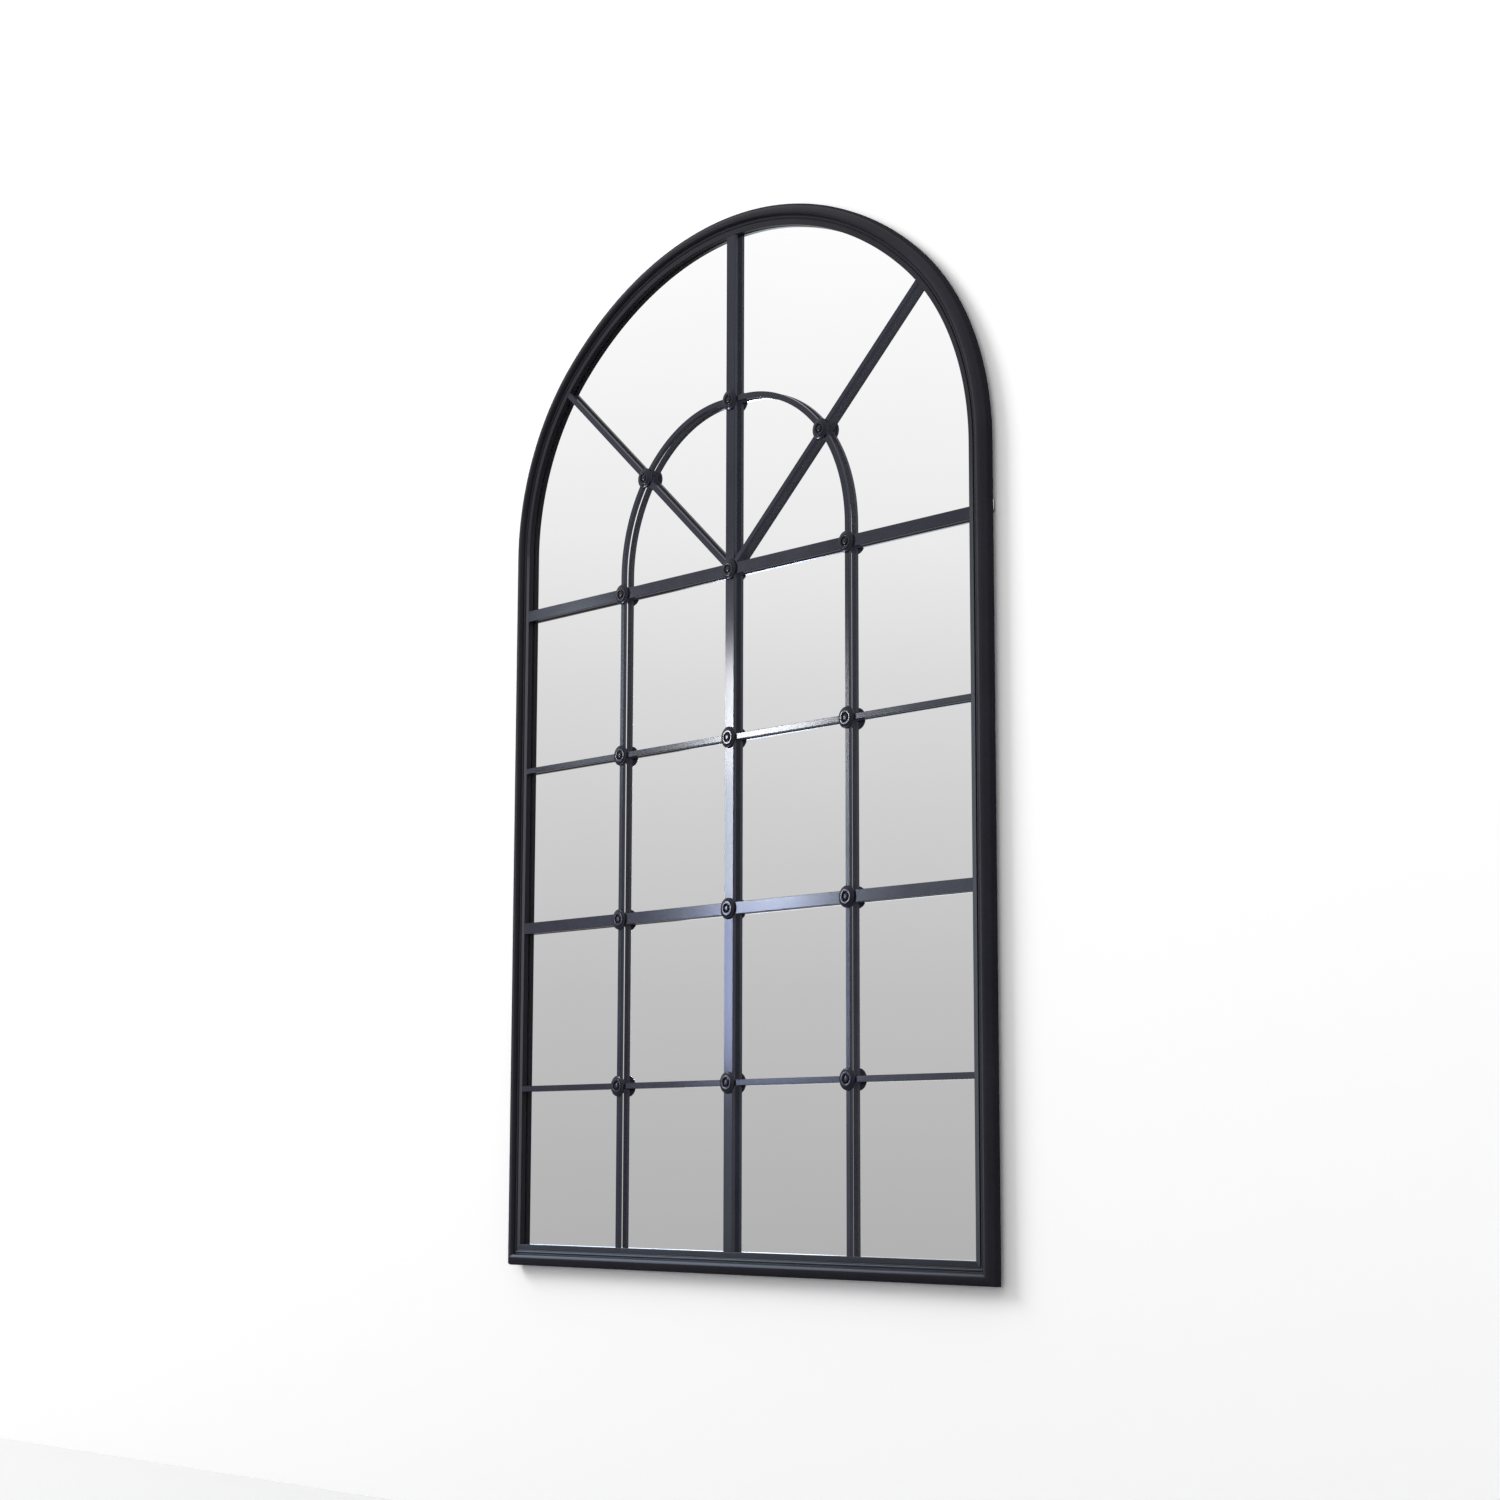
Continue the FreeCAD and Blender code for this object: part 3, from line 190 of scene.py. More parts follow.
floor = flat_sheet("studio_floor", [
    (-WALL_REACH, -FLOOR_REACH, FLOOR_LEVEL), (WALL_REACH, -FLOOR_REACH, FLOOR_LEVEL),
    (WALL_REACH, FLOOR_REACH, FLOOR_LEVEL), (-WALL_REACH, FLOOR_REACH, FLOOR_LEVEL)])
floor_finish = Finish(bpy.data.materials.new("floor_paint"))
floor_ray = floor_finish.add("ShaderNodeLightPath", output="Is Camera Ray")
pale = floor_finish.add("ShaderNodeBsdfDiffuse", None, {"Color": (0.86, 0.86, 0.86, 1)})
dim = floor_finish.add("ShaderNodeBsdfDiffuse", None, {"Color": (0.20, 0.20, 0.21, 1)})
floor_coat = floor_finish.add("ShaderNodeMixShader", None, {0: floor_ray, 1: dim, 2: pale})
floor_finish.add("ShaderNodeOutputMaterial", None, {"Surface": floor_coat})
floor.data.materials.append(floor_finish.owner)


def softbox(name, place, target, size, power, tint=(1.0, 1.0, 1.0)):
    """A soft lamp that faces a point; size is its width and its height."""
    lamp = bpy.data.lights.new(name, "AREA")
    lamp.shape = "RECTANGLE"
    lamp.size, lamp.size_y = size
    lamp.energy = power
    lamp.color = tint
    holder = bpy.data.objects.new(name, lamp)
    holder.location = place
    aim = Vector(target) - Vector(place)
    holder.rotation_euler = aim.to_track_quat("-Z", "Y").to_euler()
    holder.visible_camera = False
    bpy.context.scene.collection.objects.link(holder)
    return holder


MIRROR_MIDDLE = (0, 0, -0.3)

# The key lamp stands far off on the upper left, so that the shadow falls to the right and down.
# The back lamp stands behind the wall, so it reaches the mirror only in looks from behind.
key_lamp = softbox("key_softbox", (-17.5, -11.5, 12.5), MIRROR_MIDDLE, size=(10.0, 10.0),
                   power=3400.0)
key_lamp.visible_glossy = False
softbox("back_softbox", (2.6, 4.2, 2.4), MIRROR_MIDDLE, size=(2.6, 2.6), power=260.0)

# The camera stands low on the right and looks a little upward, as in the photograph.
CAMERA_PLACE = Vector((3.5286, -3.0927, -0.9974))
CAMERA_TURN = math.radians(48.558)
CAMERA_RISE = math.radians(8.370)
CAMERA_ROLL = math.radians(0.135)
FOCAL_PIXELS = 2817.1
PHOTO_PIXELS = 1500
SENSOR_WIDTH = 36.0

sideways = Vector((math.cos(CAMERA_TURN), math.sin(CAMERA_TURN), 0))
ahead = Vector((-math.sin(CAMERA_TURN) * math.cos(CAMERA_RISE),
                math.cos(CAMERA_TURN) * math.cos(CAMERA_RISE), math.sin(CAMERA_RISE)))
overhead = sideways.cross(ahead)
right = math.cos(CAMERA_ROLL) * sideways + math.sin(CAMERA_ROLL) * overhead
upward = math.cos(CAMERA_ROLL) * overhead - math.sin(CAMERA_ROLL) * sideways
camera = bpy.data.cameras.new("camera")
camera.sensor_width = SENSOR_WIDTH
camera.lens = SENSOR_WIDTH * FOCAL_PIXELS / PHOTO_PIXELS
camera.clip_end = 60.0
tripod = bpy.data.objects.new("camera", camera)
tripod.matrix_world = Matrix.Translation(CAMERA_PLACE) @ Matrix(
    (right, upward, -ahead)).transposed().to_4x4()
bpy.context.scene.collection.objects.link(tripod)
bpy.context.scene.camera = tripod
bpy.context.scene.view_settings.view_transform = "Standard"


# --- Frame --------------------------------------------------------------------------------
# Six lengths of one rolled steel moulding, 1.5 mm thick: two stiles, the bottom rail mitred
# to them, two shoulders and the crown. Welded, dressed flush and painted in one satin black.

SIGHT_HALF = 563.0
SIGHT_DROP = 1139.0
SPRINGING = 113.0
SHOULDER_RADIUS = 418.0
SHOULDER_SWEEP = math.radians(48.0)
SHOULDER_CENTRE = SIGHT_HALF - SHOULDER_RADIUS
CROWN_RADIUS = SHOULDER_RADIUS + SHOULDER_CENTRE / math.cos(SHOULDER_SWEEP)
CROWN_CENTRE = SPRINGING - SHOULDER_CENTRE * math.tan(SHOULDER_SWEEP)


def bend(centre, radius, first, last, count=7):
    """Points of a round corner: centre + radius * (cos a, sin a), a in even steps of degrees."""
    turn = np.radians(np.linspace(first, last, count))
    return np.stack([centre[0] + radius * np.cos(turn), centre[1] + radius * np.sin(turn)], 1)


# The section, as (distance out from the sight edge, depth from the wall): first its outside
# from the lip round to the back flange, then the inside of the sheet back to the foot.
MOULDING = np.vstack([
    bend((0.3, 15.3), 0.3, 270, 180, 4),       # heel of the lip
    bend((0.8, 23.2), 0.8, 180, 90),           # sight edge
    bend((8.6, 23.6), 0.4, 90, 0),             # end of the flat band
    bend((9.25, 22.65), 0.25, 180, 270, 4),    # groove
    bend((13.34, 21.42), 3.0, 161, 44, 12),    # bead
    [(15.75, 23.42), (16.3, 23.42)],           # valley
    bend((23.0, 23.5), 6.5, 178, 90, 14),      # rise to the crest
    bend((23.0, 16.0), 14.0, 87, 0, 26),       # round to the side
    bend((35.8, 9.2), 1.2, 0, -90),            # back edge
    bend((15.3, 8.3), 0.3, -90, -180, 4),      # end of the back flange
    bend((15.3, 9.2), 0.3, 180, 90, 4),
    bend((35.1, 9.9), 0.4, -90, 0, 4),         # inside, from the flange up the side
    bend((23.0, 16.0), 12.5, 0, 87, 14),
    bend((23.0, 23.5), 5.0, 90, 180, 8),
    [(18.0, 20.9), (1.5, 20.9), (1.5, 16.5)],
    bend((7.7, 16.2), 0.3, 90, 0, 4),          # foot of the lip
    bend((7.7, 15.3), 0.3, 0, -90, 4),
])


def edge_normals(section):
    """Outward normal at each point of a closed section: that of its two sides, by length."""
    sides = np.roll(section, -1, 0) - section
    left_of_side = np.stack([-sides[:, 1], sides[:, 0]], 1)
    normals = left_of_side + np.roll(left_of_side, 1, 0)
    return normals / np.linalg.norm(normals, axis=1, keepdims=True)


# More points than any mesh here has.
MOST_POINTS = 10 ** 7


def edge_keys(pairs):
    """One number for each edge, the same from either end."""
    return pairs.min(1) * MOST_POINTS + pairs.max(1)


def flat_piece(name, points, faces, material, node):
    """A mesh of flat faces from points in millimetres, standing for a CAD node."""
    mesh = bpy.data.meshes.new(name)
    mesh.from_pydata((points * MILLIMETRE).tolist(), [], faces)
    mesh.materials.append(material)
    piece = bpy.data.objects.new(name, mesh)
    bpy.context.scene.collection.objects.link(piece)
    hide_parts(node)
    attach(piece, "mirror")
    return piece


def smooth_piece(name, points, sides, side_normals, caps, cap_normals, material, node):
    """A piece whose sides are shaded by a normal at each point, and whose caps are flat."""
    faces = sides.tolist() + [list(cap) for cap in caps]
    piece = flat_piece(name, points, faces, material, node)
    mesh = piece.data
    mesh.polygons.foreach_set("use_smooth", np.ones(len(faces), bool))
    rims = np.vstack([np.stack([cap, np.roll(cap, -1)], 1) for cap in caps])
    edges = np.empty(2 * len(mesh.edges), int)
    mesh.edges.foreach_get("vertices", edges)
    in_rim = np.isin(edge_keys(edges.reshape(-1, 2)), edge_keys(rims))
    mesh.attributes.new("sharp_edge", "BOOLEAN", "EDGE").data.foreach_set("value", in_rim)
    flat = [np.tile(normal, (len(cap), 1)) for cap, normal in zip(caps, cap_normals)]
    mesh.normals_split_custom_set(np.vstack([side_normals[sides.ravel()], *flat]).tolist())
    return piece


def carried(name, section, stations, material, node):
    """A closed section carried along a path: the point (out, depth) of the section goes to
    base + out * lean across, and to -depth in Y. Each station is (base, lean, square), with
    lean the direction that out is laid off in and square its normal to the path, both (x, z).
    The two ends are closed by flat caps."""
    normals = edge_normals(section)
    base, lean, square = (np.array(part) for part in zip(*stations))
    rows, count = len(base), len(section)
    place = base[:, None] + section[None, :, :1] * lean[:, None]
    depth = np.broadcast_to(-section[None, :, 1], (rows, count))
    points = np.stack([place[..., 0], depth, place[..., 1]], 2).reshape(-1, 3)
    tilt = normals[None, :, :1] * square[:, None]
    facing = np.stack([tilt[..., 0], np.broadcast_to(-normals[None, :, 1], (rows, count)),
                       tilt[..., 1]], 2).reshape(-1, 3)
    index = np.arange(rows * count).reshape(rows, count)
    after = np.roll(index, -1, 1)
    sides = np.stack([index[:-1], index[1:], after[1:], after[:-1]], 2).reshape(-1, 4)
    caps = [index[0][::-1], index[-1]]
    corners = points[sides[0]]
    turned_out = np.cross(corners[1] - corners[0], corners[3] - corners[0]) @ facing[sides[0][0]]
    if turned_out < 0:
        sides = sides[:, ::-1]
        caps = [cap[::-1] for cap in caps]
    along = points[index[-1]].mean(0) - points[index[0]].mean(0)
    along /= np.linalg.norm(along)
    return smooth_piece(name, points, sides, facing, caps, [-along, along], material, node)


def straight_run(start, end, lean_start, lean_end, square, pieces=24):
    """Stations in even steps from start to end; the lean of the ends makes the mitres."""
    stations = []
    for step in np.linspace(0, 1, pieces + 1):
        base = np.array(start) * (1 - step) + np.array(end) * step
        lean = lean_start if step == 0 else lean_end if step == 1 else square
        stations.append((base, lean, square))
    return stations


def curved_run(centre, radius, first, last, pieces):
    """Stations round an arc: base = centre + radius * (cos a, sin a), lean the same direction."""
    turns = np.linspace(first, last, pieces + 1)
    spokes = np.stack([np.cos(turns), np.sin(turns)], 1)
    return [(np.array(centre) + radius * spoke, spoke, spoke) for spoke in spokes]


LIGHTER_TONE = 1.35
CLOUD_SPREAD = 0.06
MOTTLE_SPREAD = 0.05


def satin_paint(name, undertone, roughness):
    """Black stoved paint: slow shifts of tone, finely mottled gloss and a slight orange peel."""
    finish = Finish(bpy.data.materials.new(name))
    place = finish.add("ShaderNodeTexCoord", output="Object")
    clouds = finish.add("ShaderNodeTexNoise", None,
                        {"Vector": place, "Scale": 9.0, "Detail": 3.0, "Roughness": 0.6})
    mottle = finish.add("ShaderNodeTexNoise", None,
                        {"Vector": place, "Scale": 160.0, "Detail": 4.0, "Roughness": 0.65})
    peel = finish.add("ShaderNodeTexNoise", None,
                      {"Vector": place, "Scale": 700.0, "Detail": 2.0, "Roughness": 0.5})
    lighter = tuple(LIGHTER_TONE * part for part in undertone)
    tone = finish.add("ShaderNodeValToRGB", {"stops": [(0.35, undertone), (0.7, lighter)]},
                      {"Fac": clouds * 0.6 + mottle * 0.4})
    lowest = roughness - (CLOUD_SPREAD + MOTTLE_SPREAD) / 2
    gloss = clouds * CLOUD_SPREAD + mottle * MOTTLE_SPREAD + lowest
    grain = finish.add("ShaderNodeBump", None,
                       {"Height": peel, "Strength": 0.03, "Distance": 0.0002}, "Normal")
    return finish.coat(Base_Color=tone, Roughness=gloss, Normal=grain, Specular_IOR_Level=0.1)


# The frame's copy of the paint is a little darker than the bars': painted shade for its grooves and
# underside.
frame_paint = satin_paint("frame_satin_black", (0.0200, 0.0195, 0.0255), roughness=0.20)

painted = []


def frame_length(name, stations):
    """One length of the moulding, which stands for the CAD's length of the same name."""
    painted.append(carried(name, MOULDING, stations, frame_paint, f"frame_{name}"))


for side_name, side in (("right", 1), ("left", -1)):
    foot = (side * SIGHT_HALF, -SIGHT_DROP)
    frame_length(f"stile_{side_name}", straight_run((side * SIGHT_HALF, SPRINGING), foot,
                                                    (side, 0), (side, -1), (side, 0)))
    first, last = (0, SHOULDER_SWEEP) if side > 0 else (math.pi, math.pi - SHOULDER_SWEEP)
    frame_length(f"shoulder_{side_name}", curved_run(
        (side * SHOULDER_CENTRE, SPRINGING), SHOULDER_RADIUS, first, last, pieces=30))
frame_length("crown", curved_run((0, CROWN_CENTRE), CROWN_RADIUS, SHOULDER_SWEEP,
                                 math.pi - SHOULDER_SWEEP, pieces=80))
frame_length("bottom_rail", straight_run((-SIGHT_HALF, -SIGHT_DROP), (SIGHT_HALF, -SIGHT_DROP),
                                         (-1, -1), (1, -1), (0, -1)))


# --- Bars ---------------------------------------------------------------------------------
# Flat steel, 6 mm thick, halved into each other at the crossings and welded to the frame.
# The bars are the CAD solids; they get the same paint, glossier and a touch paler: the paler tone is
# painted light, for the light the bars catch.

bar_paint = satin_paint("bar_satin_black", (0.0235, 0.0235, 0.0320), roughness=0.13)

for node_name, bar in frame["nodes"].items():
    if node_name.startswith("bar_"):
        bar.data.materials.clear()
        bar.data.materials.append(bar_paint)
        painted.append(bar)


# --- Rosettes -----------------------------------------------------------------------------
# Turned steel buttons over the crossings: a rounded rim, a sloping flank up to a raised ring,
# a hollow and a domed middle. Each is held by a stud that is riveted over behind the bars.

BAR_FRONT = 24.0


def turned(name, profile, centre, material, node, around=72):
    """A profile turned about an axis along Y: the point (radius, depth) goes to
    (x + radius * cos a, -depth, z + radius * sin a). It starts and ends on the axis."""
    turns = np.linspace(0, 2 * np.pi, around, endpoint=False)
    spin = np.stack([np.cos(turns), np.sin(turns)], 1)
    rings = profile[1:-1]
    place = rings[:, None, :1] * spin[None] + np.array(centre)
    depth = np.broadcast_to(-rings[:, None, 1], place.shape[:2])
    points = np.stack([place[..., 0], depth, place[..., 1]], 2).reshape(-1, 3)
    poles = [(centre[0], -profile[end][1], centre[1]) for end in (0, -1)]
    points = np.vstack([points, poles])
    steps = np.gradient(profile, axis=0)[1:-1]
    slopes = np.stack([-steps[:, 1], steps[:, 0]], 1)
    slopes /= np.linalg.norm(slopes, axis=1, keepdims=True)
    tilt = slopes[:, None, :1] * spin[None]
    facing = np.stack([tilt[..., 0], np.broadcast_to(-slopes[:, None, 1], tilt.shape[:2]),
                       tilt[..., 1]], 2).reshape(-1, 3)
    facing = np.vstack([facing, [(0, -1, 0), (0, 1, 0)]])
    index = np.arange(len(rings) * around).reshape(-1, around)
    after = np.roll(index, -1, 1)
    sides = np.stack([index[:-1], index[1:], after[1:], after[:-1]], 2).reshape(-1, 4)
    front_pole, back_pole = len(points) - 2, len(points) - 1
    caps = np.vstack([
        np.stack([np.full(around, front_pole), index[0], after[0]], 1),
        np.stack([np.full(around, back_pole), after[-1], index[-1]], 1)])
    normals = np.repeat([(0.0, -1.0, 0.0), (0.0, 1.0, 0.0)], around, axis=0)
    return smooth_piece(name, points, sides, facing, caps, normals, material, node)


def oval(centre, across, along, first, last, count):
    """Points of an ellipse: centre + (across * cos a, along * sin a), in degrees."""
    turn = np.radians(np.linspace(first, last, count))
    return np.stack([centre[0] + across * np.cos(turn), centre[1] + along * np.sin(turn)], 1)


# The profile, as (radius, distance in front of the bars), from the middle round to the back.
ROSETTE = np.vstack([
    [(0, 5.6), (2.2, 5.58), (3.0, 5.48)],            # top of the dome
    oval((3.0, 2.75), 3.1, 2.7, 80, 4, 9),           # side of the dome
    [(6.4, 2.75), (7.0, 2.65), (7.5, 2.75)],         # hollow
    oval((8.7, 4.1), 0.9, 1.1, 178, 92, 6),          # ring, inner side
    [(9.6, 5.22), (10.6, 5.22)],                     # ring, flat top
    oval((11.4, 4.2), 1.0, 1.0, 88, 30, 5),          # ring, outer side
    [(12.9, 4.25), (14.2, 3.8), (15.4, 3.35)],       # flank
    oval((16.1, 1.25), 1.9, 2.0, 84, 0, 9),          # rim
    [(18.0, 0.3), (17.75, 0.0), (4.4, 0.0)],         # foot, flat on the bars
    [(2.4, 0.0), (2.4, -6.0), (4.0, -6.0)],          # stud
    oval((0, -6.1), 4.0, 1.3, 0, -90, 7),            # riveted head of the stud
])
ROSETTE[:, 1] += BAR_FRONT
ROSETTE[-1, 0] = 0.0

rosette_paint = satin_paint("rosette_satin_black", (0.017, 0.0165, 0.023), roughness=0.13)

for node_name in sorted(frame["nodes"]):
    if node_name.startswith("rosette_"):
        low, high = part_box(node_name)
        middle = ((low.x + high.x) / 2 / MILLIMETRE, (low.z + high.z) / 2 / MILLIMETRE)
        painted.append(turned(f"turned_{node_name}", ROSETTE, middle, rosette_paint,
                              node_name))


# --- Mirror -------------------------------------------------------------------------------
# One arched sheet of 3 mm float glass, silvered behind, pressed to the tape under the lip by
# the board. The eye sees the silver a little below the face of the glass, so the middle lies
# that much lower than the margin that the lip hides.

GLASS_LAP = 13.0
GLASS_FRONT = 14.0
SILVER_SEEN = 13.0
GLASS_BACK = 11.0
MARGIN = 6.0
ARC_STEPS = 40


def arched_outline(outset):
    """The arched contour at a distance outside the sight edge, as (x, z), anticlockwise from
    the bottom left corner: the sill, the right shoulder, the crown and the left shoulder."""
    sweep = math.degrees(SHOULDER_SWEEP)
    corner = (SIGHT_HALF + outset, -SIGHT_DROP - outset)
    shoulder = bend((SHOULDER_CENTRE, SPRINGING), SHOULDER_RADIUS + outset, 0, sweep, ARC_STEPS)
    crown_arc = bend((0, CROWN_CENTRE), CROWN_RADIUS + outset, sweep, 180 - sweep, 2 * ARC_STEPS)
    mirrored = shoulder[::-1] * (-1, 1)
    return np.vstack([[(-corner[0], corner[1]), corner], shoulder, crown_arc[1:-1], mirrored])


def arched_sheet(name, rings, material, node):
    """A plate cut to the arched contour: a ring for each (outset, depth) from the middle of
    the front round to the back, joined by bands, with a flat face inside the first and last."""
    contours = [arched_outline(outset) for outset, depth in rings]
    count = len(contours[0])
    points = np.vstack([np.stack([ring[:, 0], np.full(count, -depth), ring[:, 1]], 1)
                        for ring, (outset, depth) in zip(contours, rings)])
    index = np.arange(len(points)).reshape(-1, count)
    after = np.roll(index, -1, 1)
    bands = np.stack([index[:-1], index[1:], after[1:], after[:-1]], 2).reshape(-1, 4)
    caps = [index[0], index[-1][::-1]]
    return flat_piece(name, points, bands.tolist() + [cap.tolist() for cap in caps],
                      material, node)


silver = Finish(bpy.data.materials.new("silvered_glass"))
silver_place = silver.add("ShaderNodeTexCoord", output="Object")
silver_haze = silver.add("ShaderNodeTexNoise", None,
                         {"Vector": silver_place, "Scale": 3.0, "Detail": 3.0})
silver_tone = silver.add("ShaderNodeValToRGB", {"stops": [(0.3, 0.925), (0.7, 0.935)]},
                         {"Fac": silver_haze})
silver_coat = silver.coat(Base_Color=silver_tone, Metallic=1.0, Roughness=silver_haze * 0.004)
arched_sheet("silvered_sheet", [(MARGIN, SILVER_SEEN), (MARGIN, GLASS_FRONT),
                                (GLASS_LAP, GLASS_FRONT), (GLASS_LAP, GLASS_BACK)],
             silver_coat, "mirror_glass")


# --- Backing board ------------------------------------------------------------------------
# Brown hardboard, 3 mm, held by the clips with its rough side out: pressed fibres and darker
# flecks of bark over the print of the wire screen that it was pressed on.

board = Finish(bpy.data.materials.new("hardboard"))
board_place = board.add("ShaderNodeTexCoord", output="Object")
fibres = board.add("ShaderNodeTexNoise", None,
                   {"Vector": board_place, "Scale": 240.0, "Detail": 6.0, "Roughness": 0.7})
blotches = board.add("ShaderNodeTexNoise", None,
                     {"Vector": board_place, "Scale": 5.0, "Detail": 7.0, "Roughness": 0.75})
flecks = board.add("ShaderNodeTexNoise", None,
                   {"Vector": board_place, "Scale": 75.0, "Detail": 3.0, "Roughness": 0.8})
board_tone = board.add("ShaderNodeValToRGB", {"stops": [
    (0.34, (0.070, 0.038, 0.018)), (0.45, (0.140, 0.082, 0.042)), (0.56, (0.175, 0.106, 0.056)),
    (0.68, (0.255, 0.165, 0.092))]}, {"Fac": fibres * 0.45 + flecks * 0.4 + blotches * 0.15})
board_x = board.add("ShaderNodeSeparateXYZ", None, {"Vector": board_place}, "X")
SCREEN_PITCH = 0.0017
SCREEN_TURNS = 2 * math.pi / SCREEN_PITCH
across = board.sine(board_x * SCREEN_TURNS)
along = board.sine(board_x.beside("Z") * SCREEN_TURNS)
board_grain = board.add("ShaderNodeBump", None, {
    "Height": across * along * 0.5 + fibres, "Strength": 0.5, "Distance": 0.0005}, "Normal")
hardboard = board.coat(Base_Color=board_tone, Roughness=fibres * 0.25 + 0.55,
                       Normal=board_grain, Specular_IOR_Level=0.25)


# --- Tape, blocks and bumpers -------------------------------------------------------------
# Black closed-cell tape stuck under the lip, and moulded rubber: two blocks that carry the
# glass and four round bumpers that keep the frame off the wall.

foam = Finish(bpy.data.materials.new("foam_tape"))
foam_place = foam.add("ShaderNodeTexCoord", output="Object")
cells = foam.add("ShaderNodeTexVoronoi", None, {"Vector": foam_place, "Scale": 900.0}, "Distance")
foam_tone = foam.add("ShaderNodeValToRGB", {"stops": [(0.1, 0.012), (0.7, 0.035)]},
                     {"Fac": cells})
foam_grain = foam.add("ShaderNodeBump", None,
                      {"Height": cells, "Strength": 0.4, "Distance": 0.0004}, "Normal")
foam_coat = foam.coat(Base_Color=foam_tone, Roughness=cells * 0.1 + 0.85, Normal=foam_grain)

rubber = Finish(bpy.data.materials.new("moulded_rubber"))
rubber_place = rubber.add("ShaderNodeTexCoord", output="Object")
bloom = rubber.add("ShaderNodeTexNoise", None,
                   {"Vector": rubber_place, "Scale": 120.0, "Detail": 4.0, "Roughness": 0.6})
skin = rubber.add("ShaderNodeTexNoise", None,
                  {"Vector": rubber_place, "Scale": 1500.0, "Detail": 2.0, "Roughness": 0.5})
rubber_tone = rubber.add("ShaderNodeValToRGB", {"stops": [
    (0.3, (0.014, 0.014, 0.015)), (0.75, (0.030, 0.030, 0.031))]}, {"Fac": bloom})
rubber_grain = rubber.add("ShaderNodeBump", None,
                          {"Height": skin, "Strength": 0.25, "Distance": 0.0003}, "Normal")
rubber_coat = rubber.coat(Base_Color=rubber_tone, Roughness=bloom * 0.2 + 0.5,
                          Normal=rubber_grain)


# --- Clips, brackets, plates, hangers and screws ------------------------------------------
# Pressed from zinc-coated sheet and screwed to the back flange; screws and hanger rings are
# plated. The coats show as pale crystals with faint rolling lines.

CRYSTAL_SPREAD = 0.10
LINE_SPREAD = 0.12


def bright_metal(name, tones, crystal_scale, line_stretch, roughness):
    """Coated steel: crystals of slightly different tone, and fine lines along one way."""
    finish = Finish(bpy.data.materials.new(name))
    place = finish.add("ShaderNodeTexCoord", output="Object")
    crystals = finish.add("ShaderNodeTexVoronoi", None,
                          {"Vector": place, "Scale": crystal_scale, "Randomness": 0.9}, "Color")
    crystal = finish.add("ShaderNodeSeparateXYZ", None, {"Vector": crystals}, "X")
    stretched = finish.add("ShaderNodeMapping", None, {"Vector": place, "Scale": line_stretch})
    lines = finish.add("ShaderNodeTexNoise", None,
                       {"Vector": stretched, "Scale": 60.0, "Detail": 4.0, "Roughness": 0.6})
    tone = finish.add("ShaderNodeValToRGB", {"stops": [(0.2, tones[0]), (0.8, tones[1])]},
                      {"Fac": crystal * 0.45 + lines * 0.55})
    grain = finish.add("ShaderNodeBump", None,
                       {"Height": lines, "Strength": 0.12, "Distance": 0.0002}, "Normal")
    lowest = roughness - (CRYSTAL_SPREAD + LINE_SPREAD) / 2
    gloss = crystal * CRYSTAL_SPREAD + lines * LINE_SPREAD + lowest
    return finish.coat(Base_Color=tone, Metallic=1.0, Normal=grain, Roughness=gloss)


zinc_coat = bright_metal("zinc_sheet", ((0.46, 0.48, 0.50), (0.66, 0.68, 0.70)),
                         crystal_scale=210.0, line_stretch=(1.0, 1.0, 24.0), roughness=0.36)
screw_coat = bright_metal("plated_screws", ((0.52, 0.50, 0.45), (0.72, 0.70, 0.64)),
                          crystal_scale=900.0, line_stretch=(6.0, 1.0, 6.0), roughness=0.30)
ring_coat = bright_metal("plated_wire", ((0.58, 0.57, 0.55), (0.76, 0.75, 0.73)),
                         crystal_scale=1200.0, line_stretch=(20.0, 1.0, 1.0), roughness=0.22)

COAT_OF_SLOT = {"board": hardboard, "foam_tape": foam_coat, "rubber": rubber_coat,
                "zinc_steel": zinc_coat, "screw_steel": screw_coat, "ring_steel": ring_coat}
for row in frame["record"]["subparts"]:
    if row["material_slot"] in COAT_OF_SLOT:
        node = frame["nodes"][row["node"]]
        node.data.materials.clear()
        node.data.materials.append(COAT_OF_SLOT[row["material_slot"]])


# --- Lamps that light only the paint ------------------------------------------------------
# Tall softboxes on the far left. They draw the pale streaks down the middle bars and the
# sheen along the frame, and stay out of the glass, as in the photograph.

def gathered(name, pieces):
    """A collection that names the pieces a lamp lights."""
    collection = bpy.data.collections.new(name)
    for piece in pieces:
        collection.objects.link(piece)
    return collection


thin_steel = gathered("thin_steel", [piece for piece in painted if "bar_" in piece.name
                                     or "rosette" in piece.name])
painted_steel = gathered("painted_steel", painted)
rail_alone = gathered("rail_alone", [bpy.data.objects["bottom_rail"]])
right_side = gathered("right_side", [bpy.data.objects["stile_right"],
                                     bpy.data.objects["shoulder_right"]])
left_side = gathered("left_side", [bpy.data.objects["stile_left"]])


AIM_DROP = 0.3


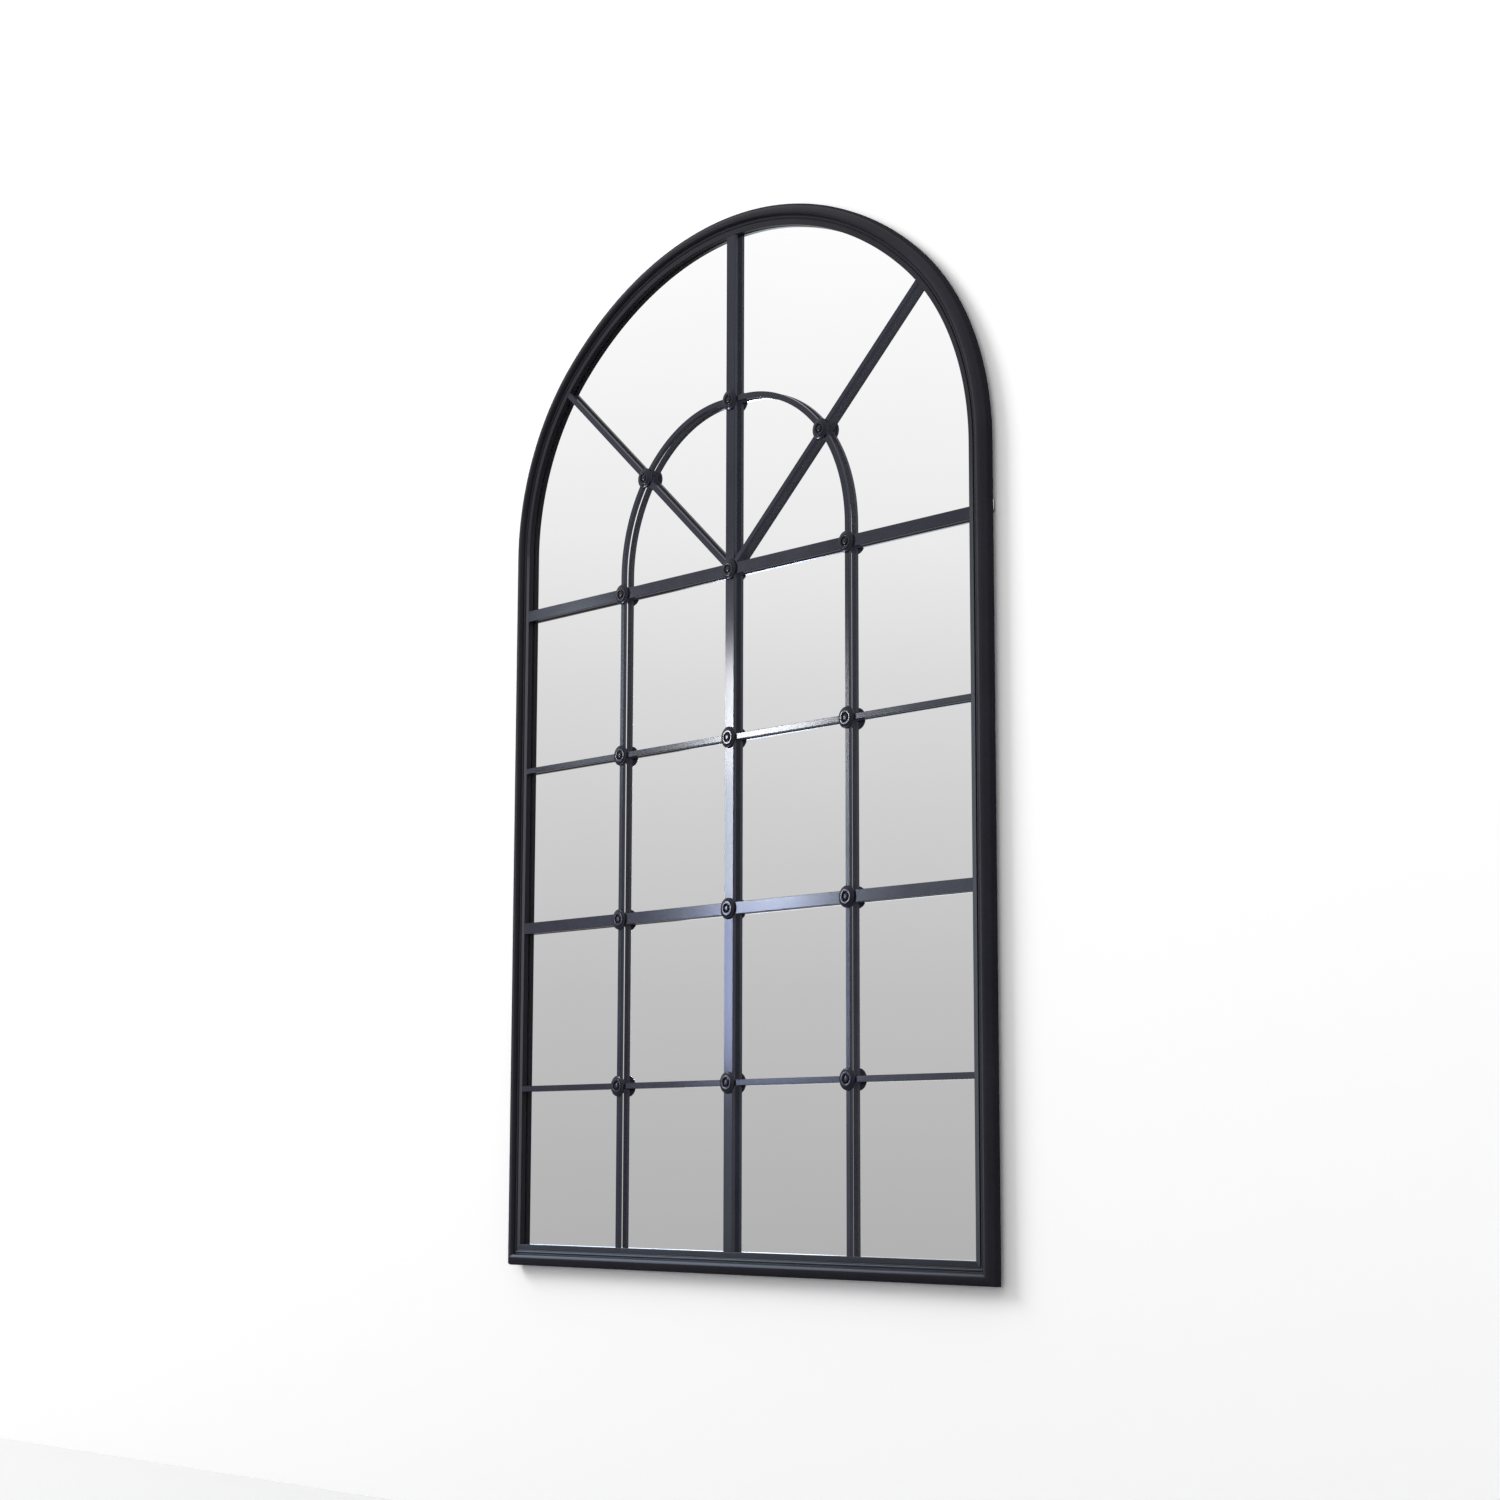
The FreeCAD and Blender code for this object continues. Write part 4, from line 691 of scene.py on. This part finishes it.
def streak(name, seen_at, width, power, tint, receivers, distance=4.0):
    """A softbox seen in the bars at (column, top row, bottom row) of the picture: it stands
    where the view ray goes after the bars turn it back."""
    column, *rows = seen_at
    ends = []
    for row in rows:
        view = (ahead + right * (column - PHOTO_PIXELS / 2) / FOCAL_PIXELS
                - upward * (row - PHOTO_PIXELS / 2) / FOCAL_PIXELS)
        hit = CAMERA_PLACE - view * (CAMERA_PLACE.y + BAR_FRONT * MILLIMETRE) / view.y
        turned_back = Vector((view.x, -view.y, view.z)).normalized()
        ends.append(hit + turned_back * distance)
    middle = (ends[0] + ends[1]) / 2
    lamp = softbox(name, middle, (0, 0, middle.z - AIM_DROP), (width, (ends[0] - ends[1]).length),
                   power, tint)
    lamp.light_linking.receiver_collection = receivers
    return lamp


# Where each lamp shows in the photograph: column, top row and bottom row, in pixels.
CENTRE_BAR_UPPER = (764, 660, 770)
CENTRE_BAR_MIDDLE = (765, 770, 900)
CENTRE_BAR_LOWER = (766, 900, 1068)
LEFT_BAR = (586, 600, 765)
RIGHT_PANES = (860, 620, 1250)
RIGHT_STILE = (980, 480, 1290)
LEFT_STILE = (515, 560, 1270)

streak("streak_upper", CENTRE_BAR_UPPER, 0.29, 31.0, (0.93, 0.94, 1.0), thin_steel)
streak("streak_middle", CENTRE_BAR_MIDDLE, 0.29, 26.5, (0.77, 0.86, 1.0), thin_steel)
streak("streak_lower", CENTRE_BAR_LOWER, 0.30, 26.5, (0.54, 0.63, 1.0), thin_steel)
streak("streak_left", LEFT_BAR, 0.14, 3.5, (0.75, 0.88, 1.0), thin_steel)
streak("broad_sheen", RIGHT_PANES, 1.1, 14.0, (0.80, 0.90, 1.0), painted_steel)
streak("right_sheen", RIGHT_STILE, 0.5, 25.0, (0.80, 0.92, 1.0), right_side)
streak("left_sheen", LEFT_STILE, 0.5, 14.0, (0.92, 0.92, 1.0), left_side)

# The light that the glass throws back on the sides and backs of the bars: it comes from
# behind the mirror, and only the bars and rosettes stand in its way.
thrown_back = softbox("thrown_back", (3.4, 2.1, 0.2), MIRROR_MIDDLE, size=(2.0, 2.0),
                      power=230.0)
thrown_back.visible_glossy = False
thrown_back.light_linking.receiver_collection = thin_steel
thrown_back.light_linking.blocker_collection = thin_steel

# High up on the left, for the pale line along the rounded edge of the bottom rail.
RAIL_MIDDLE = (0, 0, -1.15)
rail_line = softbox("rail_line", (-3.0, -1.7, 0.2), RAIL_MIDDLE, size=(2.2, 2.8), power=150.0,
                    tint=(0.62, 0.78, 1.0))
rail_line.visible_diffuse = False
rail_line.light_linking.receiver_collection = rail_alone
